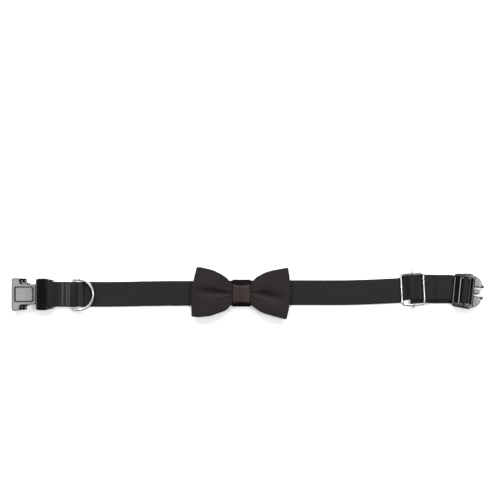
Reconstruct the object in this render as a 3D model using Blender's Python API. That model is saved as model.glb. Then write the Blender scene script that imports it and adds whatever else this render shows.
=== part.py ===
"""Pet bow tie collar, laid open and flat: webbing strap, buckle halves, D-ring, wire slider, cloth bow."""

from math import atan, cos, pi, radians, sin, tan

import bmesh
import bpy
from mathutils import Matrix, Vector

mm = 0.001

# General
clearance = 0.3 * mm

# Webbing strap, one length of ribbon folded at both ends
webbing_width = 25.0 * mm
webbing_thickness = 1.5 * mm
longest_run = 6.0 * mm

# Places along the collar, from the mouth of the left buckle half to the prong tips
mouth_to_bar = 37.2 * mm
bar_to_ring = 23.4 * mm
ring_to_knot = 168.0 * mm
knot_to_slider = 171.0 * mm
slider_to_ladder = 53.0 * mm
ladder_to_tips = 18.0 * mm
ring_fold_end = 9.8 * mm
slider_fold_end = 18.0 * mm
step_down = 5.0 * mm

# Female buckle half
female_height = 10.0 * mm
female_half_width = 16.4 * mm
female_waist = 13.3 * mm
female_waist_start = 17.0 * mm
female_body_length = 23.3 * mm
female_overhang = 4.2 * mm
female_wall = 2.2 * mm
female_bar_radius = 1.8 * mm
female_edge = 0.6 * mm
female_turn = radians(0.0)
window_start = 7.6 * mm
window_length = 10.4 * mm
window_depth = 6.2 * mm
rail_width = 3.0 * mm
panel_start = 3.0 * mm
panel_length = 18.6 * mm
panel_width = 15.0 * mm
panel_depth = 0.3 * mm

# D-ring
ring_wire = 3.0 * mm
ring_play = 1.2 * mm
ring_leg = 4.6 * mm
ring_corner = 1.7 * mm
ring_turn = radians(-1.0)
ring_tilt = radians(2.5)

# Slider
slider_wire = 2.4 * mm
slider_length = 22.0 * mm
slider_play = 2.0 * mm
slider_bar_wire = 2.0 * mm
slider_corner = 4.0 * mm
slider_turn = radians(3.0)
slider_shift = 0.9 * mm

# Male buckle half
male_height = 7.4 * mm
male_rail_width = 4.6 * mm
male_taper = 1.6 * mm
male_front_reach = 10.9 * mm
male_front_bar = 8.0 * mm
male_front_bar_thickness = 3.0 * mm
male_frame_length = 19.8 * mm
male_side_play = 0.8 * mm
male_edge = 0.7 * mm
male_turn = radians(-5.5)
ladder_bar_width = 4.5 * mm
ladder_bar_thickness = 3.0 * mm
prong_base_half_width = 15.6 * mm
prong_inner_half_width = 4.5 * mm
prong_thickness = 5.2 * mm
prong_length = 11.0 * mm
pin_half_width = 2.3 * mm
pin_length = 6.6 * mm

# Bow, with its knot band and the elastic loop that holds it on the strap
bow_wall = 1.2 * mm
bow_half_height = 26.0 * mm
bow_rise = 3.3 * mm
bow_end_thickness = 4.6 * mm
bow_seat = 0.6 * mm
left_reach = 49.6 * mm
right_reach = 48.5 * mm
knot_band = 17.0 * mm
knot_wall = 1.4 * mm
knot_half_width = 8.2 * mm
knot_flare = 1.5 * mm
knot_shift = -0.8 * mm
waist_gap = 0.5 * mm
waist_tuck = 0.9 * mm
keeper_band = 18.0 * mm
keeper_wall = 0.8 * mm
keeper_play = 0.25 * mm
keeper_ramp = 14.0 * mm
keeper_bend = 30.0 * mm

# How far the strap lies sideways of the collar's middle, and which way it heads there
strap_side_at_female = -1.2 * mm
strap_side_at_ring = -1.4 * mm
strap_side_at_knot = -0.5 * mm
strap_side_past_knot = 0.25 * mm
strap_side_at_slider = 3.0 * mm
strap_side_at_ladder = 2.1 * mm
return_shift = 3.1 * mm

# Worked out from the sizes above
half_web = webbing_thickness / 2
layer = webbing_thickness + clearance
collar_length = (
    mouth_to_bar + bar_to_ring + ring_to_knot + knot_to_slider + slider_to_ladder + ladder_to_tips
)
mouth_x = -collar_length / 2
female_bar_x = mouth_x + mouth_to_bar
ring_x = female_bar_x + bar_to_ring
knot_x = ring_x + ring_to_knot
slider_x = knot_x + knot_to_slider
ladder_x = slider_x + slider_to_ladder
ring_z = layer + ring_wire / 2
slider_bar_z = layer + slider_bar_wire / 2
ladder_z = layer + ladder_bar_thickness / 2
female_bar_z = female_height / 2
keeper_level = keeper_wall + keeper_play + half_web
ring_half_width = webbing_width / 2 + ring_play + ring_wire / 2
slider_width = webbing_width + 2 * slider_play + slider_wire
male_inner_half_width = webbing_width / 2 + male_side_play
male_half_width = male_inner_half_width + male_rail_width


def level(count):
    """Height of the middle of a strap layer with this many layers under it."""
    return half_web + count * layer


def clear_scene():
    for obj in list(bpy.data.objects):
        bpy.data.objects.remove(obj, do_unlink=True)


def make_material(name, colour, roughness, metallic=0.0):
    material = bpy.data.materials.new(name)
    material.use_nodes = True
    shader = material.node_tree.nodes["Principled BSDF"]
    shader.inputs["Base Color"].default_value = (*colour, 1.0)
    shader.inputs["Roughness"].default_value = roughness
    shader.inputs["Metallic"].default_value = metallic
    return material


def add_object(name, mesh, material=None, parent=None):
    obj = bpy.data.objects.new(name, mesh)
    bpy.context.scene.collection.objects.link(obj)
    if material is not None:
        mesh.materials.append(material)
    if parent is not None:
        obj.parent = parent
    return obj


def add_pivot(name, x, y, z, turn, tilt=0.0):
    """Empty on a piece's own axis: X along the collar, Y along the bar that the piece turns on."""
    pivot = bpy.data.objects.new(name, None)
    bpy.context.scene.collection.objects.link(pivot)
    pivot.matrix_world = (
        Matrix.Translation((x, y, z)) @ Matrix.Rotation(turn, 4, "Z") @ Matrix.Rotation(-tilt, 4, "Y")
    )
    return pivot


def sweep(rings, closed):
    """Mesh through rings of points, each joined to the next, closed on itself or capped at both ends."""
    bm = bmesh.new()
    rows = [[bm.verts.new(point) for point in ring] for ring in rings]
    pairs = list(zip(rows, rows[1:]))
    if closed:
        pairs.append((rows[-1], rows[0]))
    count = len(rows[0])
    for first, second in pairs:
        for i in range(count):
            j = (i + 1) % count
            bm.faces.new((first[i], first[j], second[j], second[i]))
    if not closed:
        bm.faces.new(list(reversed(rows[0])))
        bm.faces.new(rows[-1])
    bmesh.ops.recalc_face_normals(bm, faces=bm.faces)
    mesh = bpy.data.meshes.new("swept")
    bm.to_mesh(mesh)
    bm.free()
    mesh.shade_smooth()
    mesh.set_sharp_from_angle(angle=radians(40))
    return mesh


def prism(outline, low, high, edge=0.0):
    """Mesh of a flat outline raised from low to high, with its top and bottom edges rounded off."""
    bm = bmesh.new()
    face = bm.faces.new([bm.verts.new((x, y, low)) for x, y in outline])
    grown = bmesh.ops.extrude_face_region(bm, geom=[face])["geom"]
    top = [item for item in grown if isinstance(item, bmesh.types.BMVert)]
    bmesh.ops.translate(bm, verts=top, vec=(0, 0, high - low))
    bmesh.ops.recalc_face_normals(bm, faces=bm.faces)
    if edge:
        rims = [e for e in bm.edges if abs(e.verts[0].co.z - e.verts[1].co.z) < 1e-9]
        bmesh.ops.bevel(bm, geom=rims, offset=edge, segments=2, profile=0.5, affect="EDGES")
    mesh = bpy.data.meshes.new("prism")
    bm.to_mesh(mesh)
    bm.free()
    return mesh


def box_outline(x0, x1, half_width):
    return [(x0, -half_width), (x1, -half_width), (x1, half_width), (x0, half_width)]


def rounded_outline(corners, arc_step=radians(22)):
    """Outline whose corners, given as (x, y, radius), are arcs."""
    points = []
    for i, (x, y, radius) in enumerate(corners):
        before = Vector(corners[i - 1][:2])
        after = Vector(corners[(i + 1) % len(corners)][:2])
        points += corner_arc(before, Vector((x, y)), after, radius, arc_step)
    return points


def corner_arc(before, corner, after, radius, arc_step):
    """Points of the arc that rounds off a corner, or the corner itself."""
    into = (corner - before).normalized()
    out = (after - corner).normalized()
    turn = into.angle_signed(out, 0.0)
    if radius <= 0 or abs(turn) < 1e-4:
        return [tuple(corner)]
    reach = radius * tan(abs(turn) / 2)
    start = corner - into * reach
    # angle_signed counts clockwise turns as positive.
    side = 1 if turn > 0 else -1
    centre = start + Vector((into.y, -into.x)) * radius * side
    steps = max(2, round(abs(turn) / arc_step))
    points = []
    for i in range(steps + 1):
        swung = Matrix.Rotation(-turn * i / steps, 2) @ (start - centre)
        points.append(tuple(centre + swung))
    return points


def rounded_route(corners, longest, arc_step=radians(20)):
    """Open route of straight runs and arcs, with extra points so that no run is longer than given."""
    points = [tuple(corners[0][:2])]
    for i in range(1, len(corners) - 1):
        before = Vector(corners[i - 1][:2])
        after = Vector(corners[i + 1][:2])
        x, z, radius = corners[i]
        points += corner_arc(before, Vector((x, z)), after, radius, arc_step)
    points.append(tuple(corners[-1][:2]))
    route = [points[0]]
    for end in points[1:]:
        start = Vector(route[-1])
        run = Vector(end) - start
        pieces = max(1, int(run.length / longest) + 1)
        route += [tuple(start + run * k / pieces) for k in range(1, pieces + 1)]
    return route


def tangent_corner(x, z, radius, first, second):
    """Where two lines meet that touch a circle at these two normal angles, in degrees."""
    middle = radians(first + second) / 2
    reach = radius / cos(radians(second - first) / 2)
    return (x + reach * cos(middle), z + reach * sin(middle), radius)


def line_at_height(corner, normal, height, radius):
    """Corner where the line through a corner, with this normal angle, comes to a height."""
    x, z, _ = corner
    a = radians(normal)
    return (x + (z - height) * sin(a) / cos(a), height, radius)


def unite(obj, others):
    for other in others:
        modifier = obj.modifiers.new("join " + other.name, "BOOLEAN")
        modifier.operation = "UNION"
        modifier.object = other
        hide_tool(other)


def cut(obj, cutters):
    for cutter in cutters:
        modifier = obj.modifiers.new("cut " + cutter.name, "BOOLEAN")
        modifier.operation = "DIFFERENCE"
        modifier.object = cutter
        hide_tool(cutter)


def hide_tool(obj):
    obj.hide_render = True
    obj.display_type = "WIRE"


def smooth(share):
    share = min(1.0, max(0.0, share))
    return share * share * (3 - 2 * share)


# Strap

# Columns: place along the collar, sideways place, heading there
def strap_stations():
    near_ring = 30 * mm
    straight = 70 * mm
    return [
        (mouth_x, strap_side_at_female + mouth_to_bar * tan(-female_turn), female_turn),
        (female_bar_x, strap_side_at_female, female_turn),
        (ring_x, strap_side_at_ring, 0.0),
        (ring_x + near_ring, strap_side_at_ring, 0.0),
        (knot_x - straight, strap_side_at_knot, 0.0),
        (knot_x + straight, strap_side_past_knot, 0.0),
        (slider_x - straight, strap_side_past_knot, radians(0.8)),
        (slider_x, strap_side_at_slider, slider_turn),
        ((slider_x + ladder_x) / 2, strap_side_at_slider, radians(-0.5)),
        (ladder_x, strap_side_at_ladder, male_turn),
        (ladder_x + ladder_to_tips, strap_side_at_ladder + ladder_to_tips * tan(male_turn), male_turn),
    ]


def strap_side(x, returning=False):
    """Sideways place and heading of the strap's middle line at a place along the collar."""
    stations = strap_stations()
    x = min(max(x, stations[0][0]), stations[-1][0])
    i = max(k for k in range(len(stations) - 1) if stations[k][0] <= x)
    x0, y0, a0 = stations[i]
    x1, y1, a1 = stations[i + 1]
    run = x1 - x0
    t = (x - x0) / run
    m0 = tan(a0) * run
    m1 = tan(a1) * run
    y = y0 + m0 * t + (3 * (y1 - y0) - 2 * m0 - m1) * t**2 + (2 * (y0 - y1) + m0 + m1) * t**3
    slope = (m0 + 2 * (3 * (y1 - y0) - 2 * m0 - m1) * t + 3 * (2 * (y0 - y1) + m0 + m1) * t**2) / run
    if returning:
        ends = slider_to_ladder / 5
        y += return_shift * smooth((x - slider_x - slider_wire) / ends)
        y -= return_shift * smooth((x - ladder_x + 2.6 * ends) / ends)
    return y, atan(slope)


def strap_corners():
    """Route of the middle of the webbing in side view,
    from the fold by the D-ring to its fold by the slider.
    """
    # Over the D-ring's bar
    hump = ring_wire / 2 + clearance + half_web
    steep = 48
    hump_top = tangent_corner(ring_x, ring_z, hump, 90 - steep, 90 + steep)
    hump_right = line_at_height(hump_top, 90 - steep, level(1), webbing_thickness)
    hump_left = line_at_height(hump_top, 90 + steep, level(1), webbing_thickness)
    # Round the bar of the female half
    loop = female_bar_radius + clearance + half_web
    loop_top = tangent_corner(female_bar_x, female_bar_z, loop, 55, 180)
    loop_bottom = tangent_corner(female_bar_x, female_bar_z, loop, 180, 258)
    loop_foot = line_at_height(loop_top, 55, level(1), 5 * mm)
    loop_landing = line_at_height(loop_bottom, 258, level(0), 8 * mm)
    # Up over the elastic loop under the bow
    keeper_end = keeper_band / 2 + 1 * mm
    # Over the slider's bar, which the end of the strap is folded round
    inner = slider_bar_wire / 2 + clearance + half_web
    outer = inner + layer
    over_top = tangent_corner(slider_x, slider_bar_z, outer, 140, 60)
    over_foot = line_at_height(over_top, 140, level(0), 2.5 * mm)
    over_end = line_at_height(over_top, 60, level(2), 4 * mm)
    three_layers_end = slider_x + slider_fold_end + 1.5 * mm
    # Over the ladder bar of the male half and back underneath
    round_bar = ladder_bar_thickness / 2 + clearance + half_web
    bar_end = ladder_bar_width / 2 - ladder_bar_thickness / 2
    climb = tangent_corner(ladder_x - bar_end, ladder_z, round_bar, 150, 90)
    climb_foot = line_at_height(climb, 150, level(1), 1.5 * mm)
    turn_top = (ladder_x + bar_end + round_bar, ladder_z + round_bar, round_bar)
    turn_bottom = (ladder_x + bar_end + round_bar, level(0), round_bar)
    # Round the slider's bar to the sewn end
    end_low = tangent_corner(slider_x, slider_bar_z, inner, 270, 180)
    end_high = tangent_corner(slider_x, slider_bar_z, inner, 180, 50)
    end_foot = line_at_height(end_high, 50, level(1), 3 * mm)
    outward = [
        (ring_x + ring_fold_end, level(1), 0),
        hump_right,
        hump_top,
        hump_left,
        loop_foot,
        loop_top,
        loop_bottom,
        loop_landing,
        (knot_x - keeper_end - keeper_ramp, level(0), keeper_bend),
        (knot_x - keeper_end, keeper_level, keeper_bend),
        (knot_x + keeper_end, keeper_level, keeper_bend),
        (knot_x + keeper_end + keeper_ramp, level(0), keeper_bend),
        over_foot,
        over_top,
        over_end,
        (three_layers_end, level(2), 4 * mm),
        (three_layers_end + step_down, level(1), 4 * mm),
        climb_foot,
        climb,
        turn_top,
    ]
    back = [
        turn_bottom,
        end_low,
        end_high,
        end_foot,
        (slider_x + slider_fold_end, level(1), 0),
    ]
    return outward, back


def make_strap(material):
    outward, back = strap_corners()
    route = rounded_route(outward + back, longest_run)
    farthest = max(range(len(route)), key=lambda k: route[k][0])
    rings = []
    for i, (x, z) in enumerate(route):
        before = Vector(route[max(i - 1, 0)])
        after = Vector(route[min(i + 1, len(route) - 1)])
        into = (Vector((x, z)) - before).normalized() if i else (after - before).normalized()
        out = (after - Vector((x, z))).normalized() if i < len(route) - 1 else into
        along = (into + out).normalized()
        thick = half_web / max(0.5, along.dot(out))
        side, heading = strap_side(x, returning=i > farthest)
        middle = Vector((x, side, z))
        across = Vector((-sin(heading), cos(heading), 0)) * webbing_width / 2
        up = Vector((-along.y * cos(heading), -along.y * sin(heading), along.x)) * thick
        rings.append([middle + across + up, middle - across + up, middle - across - up, middle + across - up])
    return add_object("strap", sweep(rings, closed=False), material)


# Female buckle half, in its own place: X from its bar towards the strap, Z from its middle height

def female_body_outline():
    """Body from the mouth to the waist, in plan."""
    mouth = -mouth_to_bar
    waist = mouth + female_waist_start
    end = mouth + female_body_length + 1 * mm
    taper = 0.5 * mm
    shoulder = female_half_width - taper
    half = [
        (mouth, female_half_width, 1.5 * mm),
        (mouth + window_start, shoulder, 0),
        (waist - 2.5 * mm, shoulder - taper, 1.2 * mm),
        (waist, female_waist, 1.2 * mm),
        (end, female_waist, 0),
    ]
    return rounded_outline([(x, -y, r) for x, y, r in half] + [(x, y, r) for x, y, r in reversed(half)])


def female_end_outline():
    """Strap end with its rails, in plan."""
    start = -mouth_to_bar + female_body_length
    half_width = webbing_width / 2 + clearance + rail_width
    inner = webbing_width / 2 + clearance
    upper = [
        (start, half_width, 1.2 * mm),
        (-female_overhang, half_width, 5 * mm),
        (female_overhang, inner + 0.4 * rail_width, 0.8 * mm),
    ]
    return rounded_outline([(x, -y, r) for x, y, r in upper] + [(x, y, r) for x, y, r in reversed(upper)])


def window_outline(depth):
    """Bite that a side window takes out of the body, in plan, on the +Y side."""
    start = -mouth_to_bar + window_start
    end = start + window_length
    outside = female_half_width + 2 * mm
    inside = female_half_width - depth
    corner = 0.4 * depth
    return rounded_outline([
        (start, outside, 0), (start + 0.05 * window_length, inside, corner),
        (end - 0.24 * window_length, inside, corner), (end, inside + 0.5 * depth, 0.15 * depth),
        (end, outside, 0),
    ])


def make_female(material, pivot):
    half_height = female_height / 2
    mouth = -mouth_to_bar
    body_mesh = prism(female_body_outline(), -half_height, half_height, female_edge)
    body = add_object("female_buckle", body_mesh, material)
    end_half_height = half_height - 1.0 * mm
    end_mesh = prism(female_end_outline(), -end_half_height, end_half_height, female_edge)
    end = add_object("female end block", end_mesh)
    strap_room = webbing_width / 2 + clearance
    slot_left = -(female_bar_radius + 2 * clearance + webbing_thickness + 0.5 * mm)
    slot = add_object("strap slot", prism(box_outline(slot_left, 2 * female_overhang, strap_room),
                                          -female_height, female_height))
    bar_points = [(0, -strap_room - rail_width / 2, 0), (0, strap_room + rail_width / 2, 0)]
    bar = add_object("female bar", sweep(wire_rings(bar_points, female_bar_radius, 16, False), closed=False))
    cavity_half_height = half_height - female_wall
    cavity_half_width = female_waist - female_wall
    cavity = add_object("mouth cavity", prism(
        rounded_outline([
            (mouth - 1 * mm, -female_half_width + female_wall, 0),
            (mouth + female_body_length - 3 * mm, -cavity_half_width, 1.5 * mm),
            (mouth + female_body_length - 3 * mm, cavity_half_width, 1.5 * mm),
            (mouth - 1 * mm, female_half_width - female_wall, 0),
        ]), -cavity_half_height, cavity_half_height, 0.5 * mm))
    windows = []
    for side in (1, -1):
        for name, depth, low, high in (
            ("upper window", window_depth, -cavity_half_height, female_height),
            ("lower window", window_depth / 2, -female_height, -cavity_half_height + 0.2 * mm),
        ):
            outline = [(x, side * y) for x, y in window_outline(depth)]
            windows.append(add_object(f"{name} {side}", prism(outline[::side], low, high)))
    panel = [
        (mouth + panel_start, -panel_width / 2, 1.5 * mm),
        (mouth + panel_start + panel_length, -panel_width / 2, 1.5 * mm),
        (mouth + panel_start + panel_length, panel_width / 2, 1.5 * mm),
        (mouth + panel_start, panel_width / 2, 1.5 * mm),
    ]
    recess_mesh = prism(rounded_outline(panel), half_height - panel_depth, female_height)
    recess = add_object("panel recess", recess_mesh)
    unite(body, [end])
    cut(body, [slot, cavity, *windows, recess])
    unite(body, [bar])
    for obj in (body, end, slot, bar, cavity, recess, *windows):
        obj.parent = pivot
    return body


def wire_rings(points, radius, sides, closed):
    """Rings of a round wire along a route of points."""
    points = [Vector(p) for p in points]
    count = len(points)
    rings = []
    for i, point in enumerate(points):
        if closed:
            along = (points[(i + 1) % count] - points[i - 1]).normalized()
        else:
            along = (points[min(i + 1, count - 1)] - points[max(i - 1, 0)]).normalized()
        up = Vector((0, 0, 1)) if abs(along.z) < 0.9 else Vector((1, 0, 0))
        right = along.cross(up).normalized()
        up = right.cross(along)
        ring = []
        for k in range(sides):
            a = 2 * pi * k / sides
            ring.append(point + right * radius * cos(a) + up * radius * sin(a))
        rings.append(ring)
    return rings


# D-ring, in its own place: X from its straight bar towards the tip of the D

def make_ring(material, pivot):
    reach = ring_half_width
    outline = rounded_outline([
        (0, -reach, ring_corner), (ring_leg, -reach, 0), (ring_leg + reach, -reach, reach),
        (ring_leg + reach, reach, reach), (ring_leg, reach, 0), (0, reach, ring_corner),
    ], radians(10))
    points = [(x, y, 0) for x, y in outline]
    rings = wire_rings(points, ring_wire / 2, 12, True)
    return add_object("d_ring", sweep(rings, closed=True), material, pivot)


# Slider, a wire frame and a bar across it, in its own place: X along the collar

def make_slider(frame_material, bar_material):
    under_left = level(0) + half_web + clearance + slider_wire / 2
    under_right = level(2) + half_web + clearance + slider_wire / 2
    tilt = atan((under_right - under_left) / slider_length)
    middle_z = (under_left + under_right) / 2
    y, _ = strap_side(slider_x)
    pivot = add_pivot("slider place", slider_x, y + slider_shift, middle_z, slider_turn, tilt)
    half_length = slider_length / 2 / cos(tilt)
    outline = rounded_outline([
        (-half_length, -slider_width / 2, slider_corner), (half_length, -slider_width / 2, slider_corner),
        (half_length, slider_width / 2, slider_corner), (-half_length, slider_width / 2, slider_corner),
    ], radians(18))
    points = [(px, py, 0) for px, py in outline]
    frame = add_object("slider_frame", sweep(wire_rings(points, slider_wire / 2, 10, True), closed=True),
                       frame_material, pivot)
    # The bar runs under the frame and its ends curl up round the long wires.
    drop = middle_z - slider_bar_z
    curl = (slider_wire + slider_bar_wire) / 2 + clearance
    side = slider_width / 2
    points = []
    for k in range(9):
        a = radians(-90 + 190 * k / 8)
        points.append((0, side + curl * cos(a), curl * sin(a)))
    upper = [(x, p, q) for x, p, q in points]
    lower = [(x, -p, q) for x, p, q in reversed(points)]
    straight = webbing_width / 2 + 0.2 * mm
    route = lower + [(0, -straight, -drop), (0, straight, -drop)] + upper
    bar_pivot = add_pivot("slider bar place", slider_x, y + slider_shift, middle_z, slider_turn)
    bar = add_object("slider_bar", sweep(wire_rings(route, slider_bar_wire / 2, 10, False), closed=False),
                     bar_material, bar_pivot)
    return frame, bar


# Male buckle half, in its own place: X from its ladder bar towards the prong tips, Z from the floor

# Outer edge of a claw. Columns: place along the prong and sideways place as shares of the prong's length
# and of its base's half width, then the corner's radius as a share of the length
CLAW = [
    (0.0, 0.987, 0.0), (0.227, 0.974, 0.136), (0.5, 0.846, 0.182), (0.691, 0.68, 0.109),
    (0.764, 0.474, 0.055), (1.0, 0.43, 0.073),
]

def make_male(material, pivot):
    front = -(ladder_bar_width / 2 + male_front_reach)
    frame_end = front + male_frame_length
    tips = ladder_to_tips
    prong_start = tips - prong_length
    inner = male_inner_half_width
    window_start_x = front + male_front_bar + 0.6 * mm
    half = [
        (front, male_half_width - male_taper, 3 * mm),
        (frame_end - 2.5 * mm, male_half_width, 1.5 * mm),
        (frame_end + 0.5 * mm, prong_base_half_width, 1 * mm),
        (prong_start + 2 * mm, prong_base_half_width, 0),
    ]
    outline = rounded_outline([(x, -y, r) for x, y, r in half] + [(x, y, r) for x, y, r in reversed(half)])
    body = add_object("male_buckle", prism(outline, 0, male_height, male_edge), material)
    under_bar = 2 * layer
    channel = add_object("strap channel", prism(box_outline(front - 1 * mm, window_start_x, inner),
                                                -male_height, under_bar))
    bar_top = add_object("front bar cut", prism(box_outline(front - 1 * mm, window_start_x, inner),
                                                under_bar + male_front_bar_thickness, 2 * male_height))
    window_plan = box_outline(window_start_x - 0.3 * mm, prong_start - 0.8 * mm, inner)
    window = add_object("ladder window", prism(window_plan, -male_height, 2 * male_height))
    bar_end = ladder_bar_width / 2 - ladder_bar_thickness / 2
    radius = ladder_bar_thickness / 2
    steps = 8
    angles = [pi * k / steps for k in range(steps + 1)]
    section = [(bar_end + radius * sin(a), radius * cos(a)) for a in angles]
    section += [(-x, -z) for x, z in section]
    side = inner + 1 * mm
    rings = [[Vector((x, y, ladder_z + z)) for x, z in section] for y in (-side, side)]
    ladder = add_object("ladder bar", sweep(rings, closed=False))
    low = (male_height - prong_thickness) / 2
    claws = []
    for name, way in (("upper claw", 1), ("lower claw", -1)):
        claw = [
            (prong_start + x * prong_length, y * prong_base_half_width, r * prong_length) for x, y, r in CLAW
        ]
        claw.append((tips, prong_inner_half_width, 0.07 * prong_length))
        claw.append((prong_start, prong_inner_half_width, 0))
        points = rounded_outline([(x, way * y, r) for x, y, r in claw])
        claws.append(add_object(name, prism(points[::-way], low, low + prong_thickness, male_edge)))
    pin = add_object("centre pin", prism(rounded_outline([
        (prong_start, -pin_half_width, 0), (prong_start + pin_length, -pin_half_width, 1.2 * mm),
        (prong_start + pin_length, pin_half_width, 1.2 * mm), (prong_start, pin_half_width, 0),
    ]), low, low + prong_thickness, male_edge))
    cut(body, [channel, bar_top, window])
    unite(body, [ladder, *claws, pin])
    for obj in (body, channel, bar_top, window, ladder, *claws, pin):
        obj.parent = pivot
    return body


# Bow

# Columns: share of the way from the knot band's edge to the lobe's end, then the height above and below
# the middle as shares of the bow's half height
LEFT_LOBE = [
    (0.036, 0.40, 0.42), (0.145, 0.57, 0.62), (0.267, 0.68, 0.72), (0.39, 0.77, 0.79), (0.537, 0.87, 0.87),
    (0.695, 0.93, 0.90), (0.854, 0.98, 0.92), (1.0, 1.00, 0.90),
]
RIGHT_LOBE = [
    (0.036, 0.43, 0.44), (0.145, 0.60, 0.57), (0.267, 0.69, 0.70), (0.39, 0.78, 0.78), (0.537, 0.85, 0.84),
    (0.695, 0.90, 0.90), (0.854, 0.94, 0.96), (1.0, 0.97, 1.00),
]


def table_at(table, share, column):
    """Value of a column on a smooth curve through the rows of a table, held at its ends."""
    if share <= table[0][0]:
        return table[0][column]
    for i in range(len(table) - 1):
        row, after = table[i], table[i + 1]
        if share <= after[0]:
            before = table[max(i - 1, 0)]
            beyond = table[min(i + 2, len(table) - 1)]
            run = after[0] - row[0]
            slope0 = (after[column] - before[column]) / (after[0] - before[0]) * run
            slope1 = (beyond[column] - row[column]) / (beyond[0] - row[0]) * run
            t = (share - row[0]) / run
            rise = after[column] - row[column]
            bend = (3 * rise - 2 * slope0 - slope1) * t**2 + (slope0 + slope1 - 2 * rise) * t**3
            return row[column] + slope0 * t + bend
    return table[-1][column]


# Share of a lobe's full reach that its end has from its lower to its upper edge
LEFT_END = [(-1.0, 0.995), (-0.4, 1.0), (0.1, 0.995), (0.6, 0.94), (1.0, 0.89)]
RIGHT_END = [(-1.0, 0.915), (-0.6, 0.965), (0.0, 1.0), (0.5, 0.985), (1.0, 0.95)]


# Shares of the way from the knot band's edge to the lobe's end at which its front and its back bend
FRONT_BENDS = [0.023, 0.047, 0.084, 0.133, 0.194, 0.28, 0.39, 0.51, 0.645, 0.78, 0.915]
BACK_BENDS = [0.023, 0.084, 0.133, 0.194, 0.28, 0.39, 0.51, 0.645, 0.78]


def lobe_height(table, share, across, waist):
    """Sideways place on a lobe: across runs from -1 at the lower edge to 1 at the upper one."""
    column = 1 if across > 0 else 2
    first = table[0][0]
    full = table_at(table, share, column) * bow_half_height
    if share < first:
        full = waist + (full - waist) * smooth(share / first)
    return full * across


def bow_levels():
    """Heights of the middle of the bow's back and front layers at the knot, and of its back on the strap."""
    knot_floor = keeper_level + half_web + keeper_play + keeper_wall + clearance
    back = knot_floor + knot_wall + clearance + bow_wall / 2
    front = back + bow_wall + waist_gap
    rest = webbing_thickness + bow_seat + bow_wall / 2
    return knot_floor, back, front, rest


def bow_point(side, share, across, is_front):
    """Height of the front or back layer of one lobe, at a share of the way from the knot band's edge."""
    _, back, front, rest = bow_levels()
    if not is_front:
        return back + (rest - back) * smooth(share / 0.54)
    end = rest + bow_end_thickness
    base = front + (end - front) * smooth(share)
    swell = sin(pi * min(1.0, max(0.0, share / 1.1))) ** 0.8 * bow_rise
    middle = 0.08 if side < 0 else -0.02
    crease = 1 - 0.75 * (1 - share) ** 0.6 / (1 + ((across - middle) / 0.22) ** 2)
    edge_fall = 1 - 0.35 * across * across
    return base + swell * crease * edge_fall


def lobe_route(side, across):
    """Route (distance from the knot, height, share) round one lobe: out along the front, back along the back."""
    reach = left_reach if side < 0 else right_reach
    ends = LEFT_END if side < 0 else RIGHT_END
    reach *= table_at(ends, across, 1)
    inside = knot_band / 2 + clearance
    layers = []
    for is_front, bends in ((True, [0.0] + FRONT_BENDS), (False, [0.0] + BACK_BENDS)):
        under_knot = [0.0, inside / 2] if is_front else [0.0]
        layer_route = [(d, bow_point(side, 0.0, across, is_front), 0.0) for d in under_knot]
        for bend in bends:
            distance = inside + (reach - inside) * bend
            layer_route.append((distance, bow_point(side, bend, across, is_front), bend))
        layers.append(layer_route)
    front, back = layers[0], layers[1][::-1]
    top = front[-1][1]
    bottom = back[0][1]
    middle = (top + bottom) / 2
    fold = []
    start = front[-1][0]
    for k in range(1, 5):
        a = radians(90 - 36 * k)
        fold.append((start + (reach - start) * cos(a) ** 0.8, middle + (top - bottom) / 2 * sin(a), 1.0))
    return front + fold + back


def make_bow(material):
    across_steps = 12
    waist = knot_half_width - knot_wall - clearance - waist_tuck
    columns = []
    for k in range(across_steps + 1):
        across = -1 + 2 * k / across_steps
        right = lobe_route(1, across)
        left = lobe_route(-1, across)
        loop = [(d, z, s, 1) for d, z, s in right[:-1]] + [(-d, z, s, -1) for d, z, s in reversed(left[1:])]
        columns.append((across, loop))
    count = len(columns[0][1])
    rings = []
    for i in range(count):
        outer, inner = [], []
        for across, loop in columns:
            d, z, share, side = loop[i]
            before = Vector(loop[i - 1][:2])
            after = Vector(loop[(i + 1) % count][:2])
            along = (after - before).normalized()
            normal = Vector((-along.y, along.x))
            table = RIGHT_LOBE if side > 0 else LEFT_LOBE
            y = lobe_height(table, share, across, waist)
            y += knot_shift * (1 - smooth(share / 0.3))
            for points, way in ((outer, 0.5), (inner, -0.5)):
                offset = normal * bow_wall * way
                points.append(Vector((knot_x + d + offset.x, y, z + offset.y)))
        rings.append(outer + inner[::-1])
    return add_object("bow", sweep(rings, closed=True), material)


def band_rings(width, half_across, height, wall, corner, flare=0.0, steps=8):
    """Rings of a flat loop of band round the collar, with its middle at the origin."""
    outline = rounded_outline([
        (-half_across, -height / 2, corner), (half_across, -height / 2, corner),
        (half_across, height / 2, corner), (-half_across, height / 2, corner),
    ])
    rings = []
    for y, z in outline:
        outer, inner = [], []
        for k in range(steps + 1):
            u = -1 + 2 * k / steps
            grow = 1 + flare * u * u / half_across
            outer.append(Vector((u * width / 2, y * grow, z)))
            shrink_y = (half_across - wall) / half_across
            shrink_z = (height / 2 - wall) / (height / 2)
            inner.append(Vector((u * width / 2, y * grow * shrink_y, z * shrink_z)))
        rings.append(outer + inner[::-1])
    return rings


def make_knot(material):
    floor, _, front, _ = bow_levels()
    top = front + bow_wall / 2 + clearance + knot_wall
    height = top - floor
    rings = band_rings(knot_band, knot_half_width, height, knot_wall, height * 0.32, knot_flare)
    knot = add_object("bow_knot", sweep(rings, closed=True), material)
    knot.location = (knot_x, knot_shift, (floor + top) / 2)
    return knot


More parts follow.
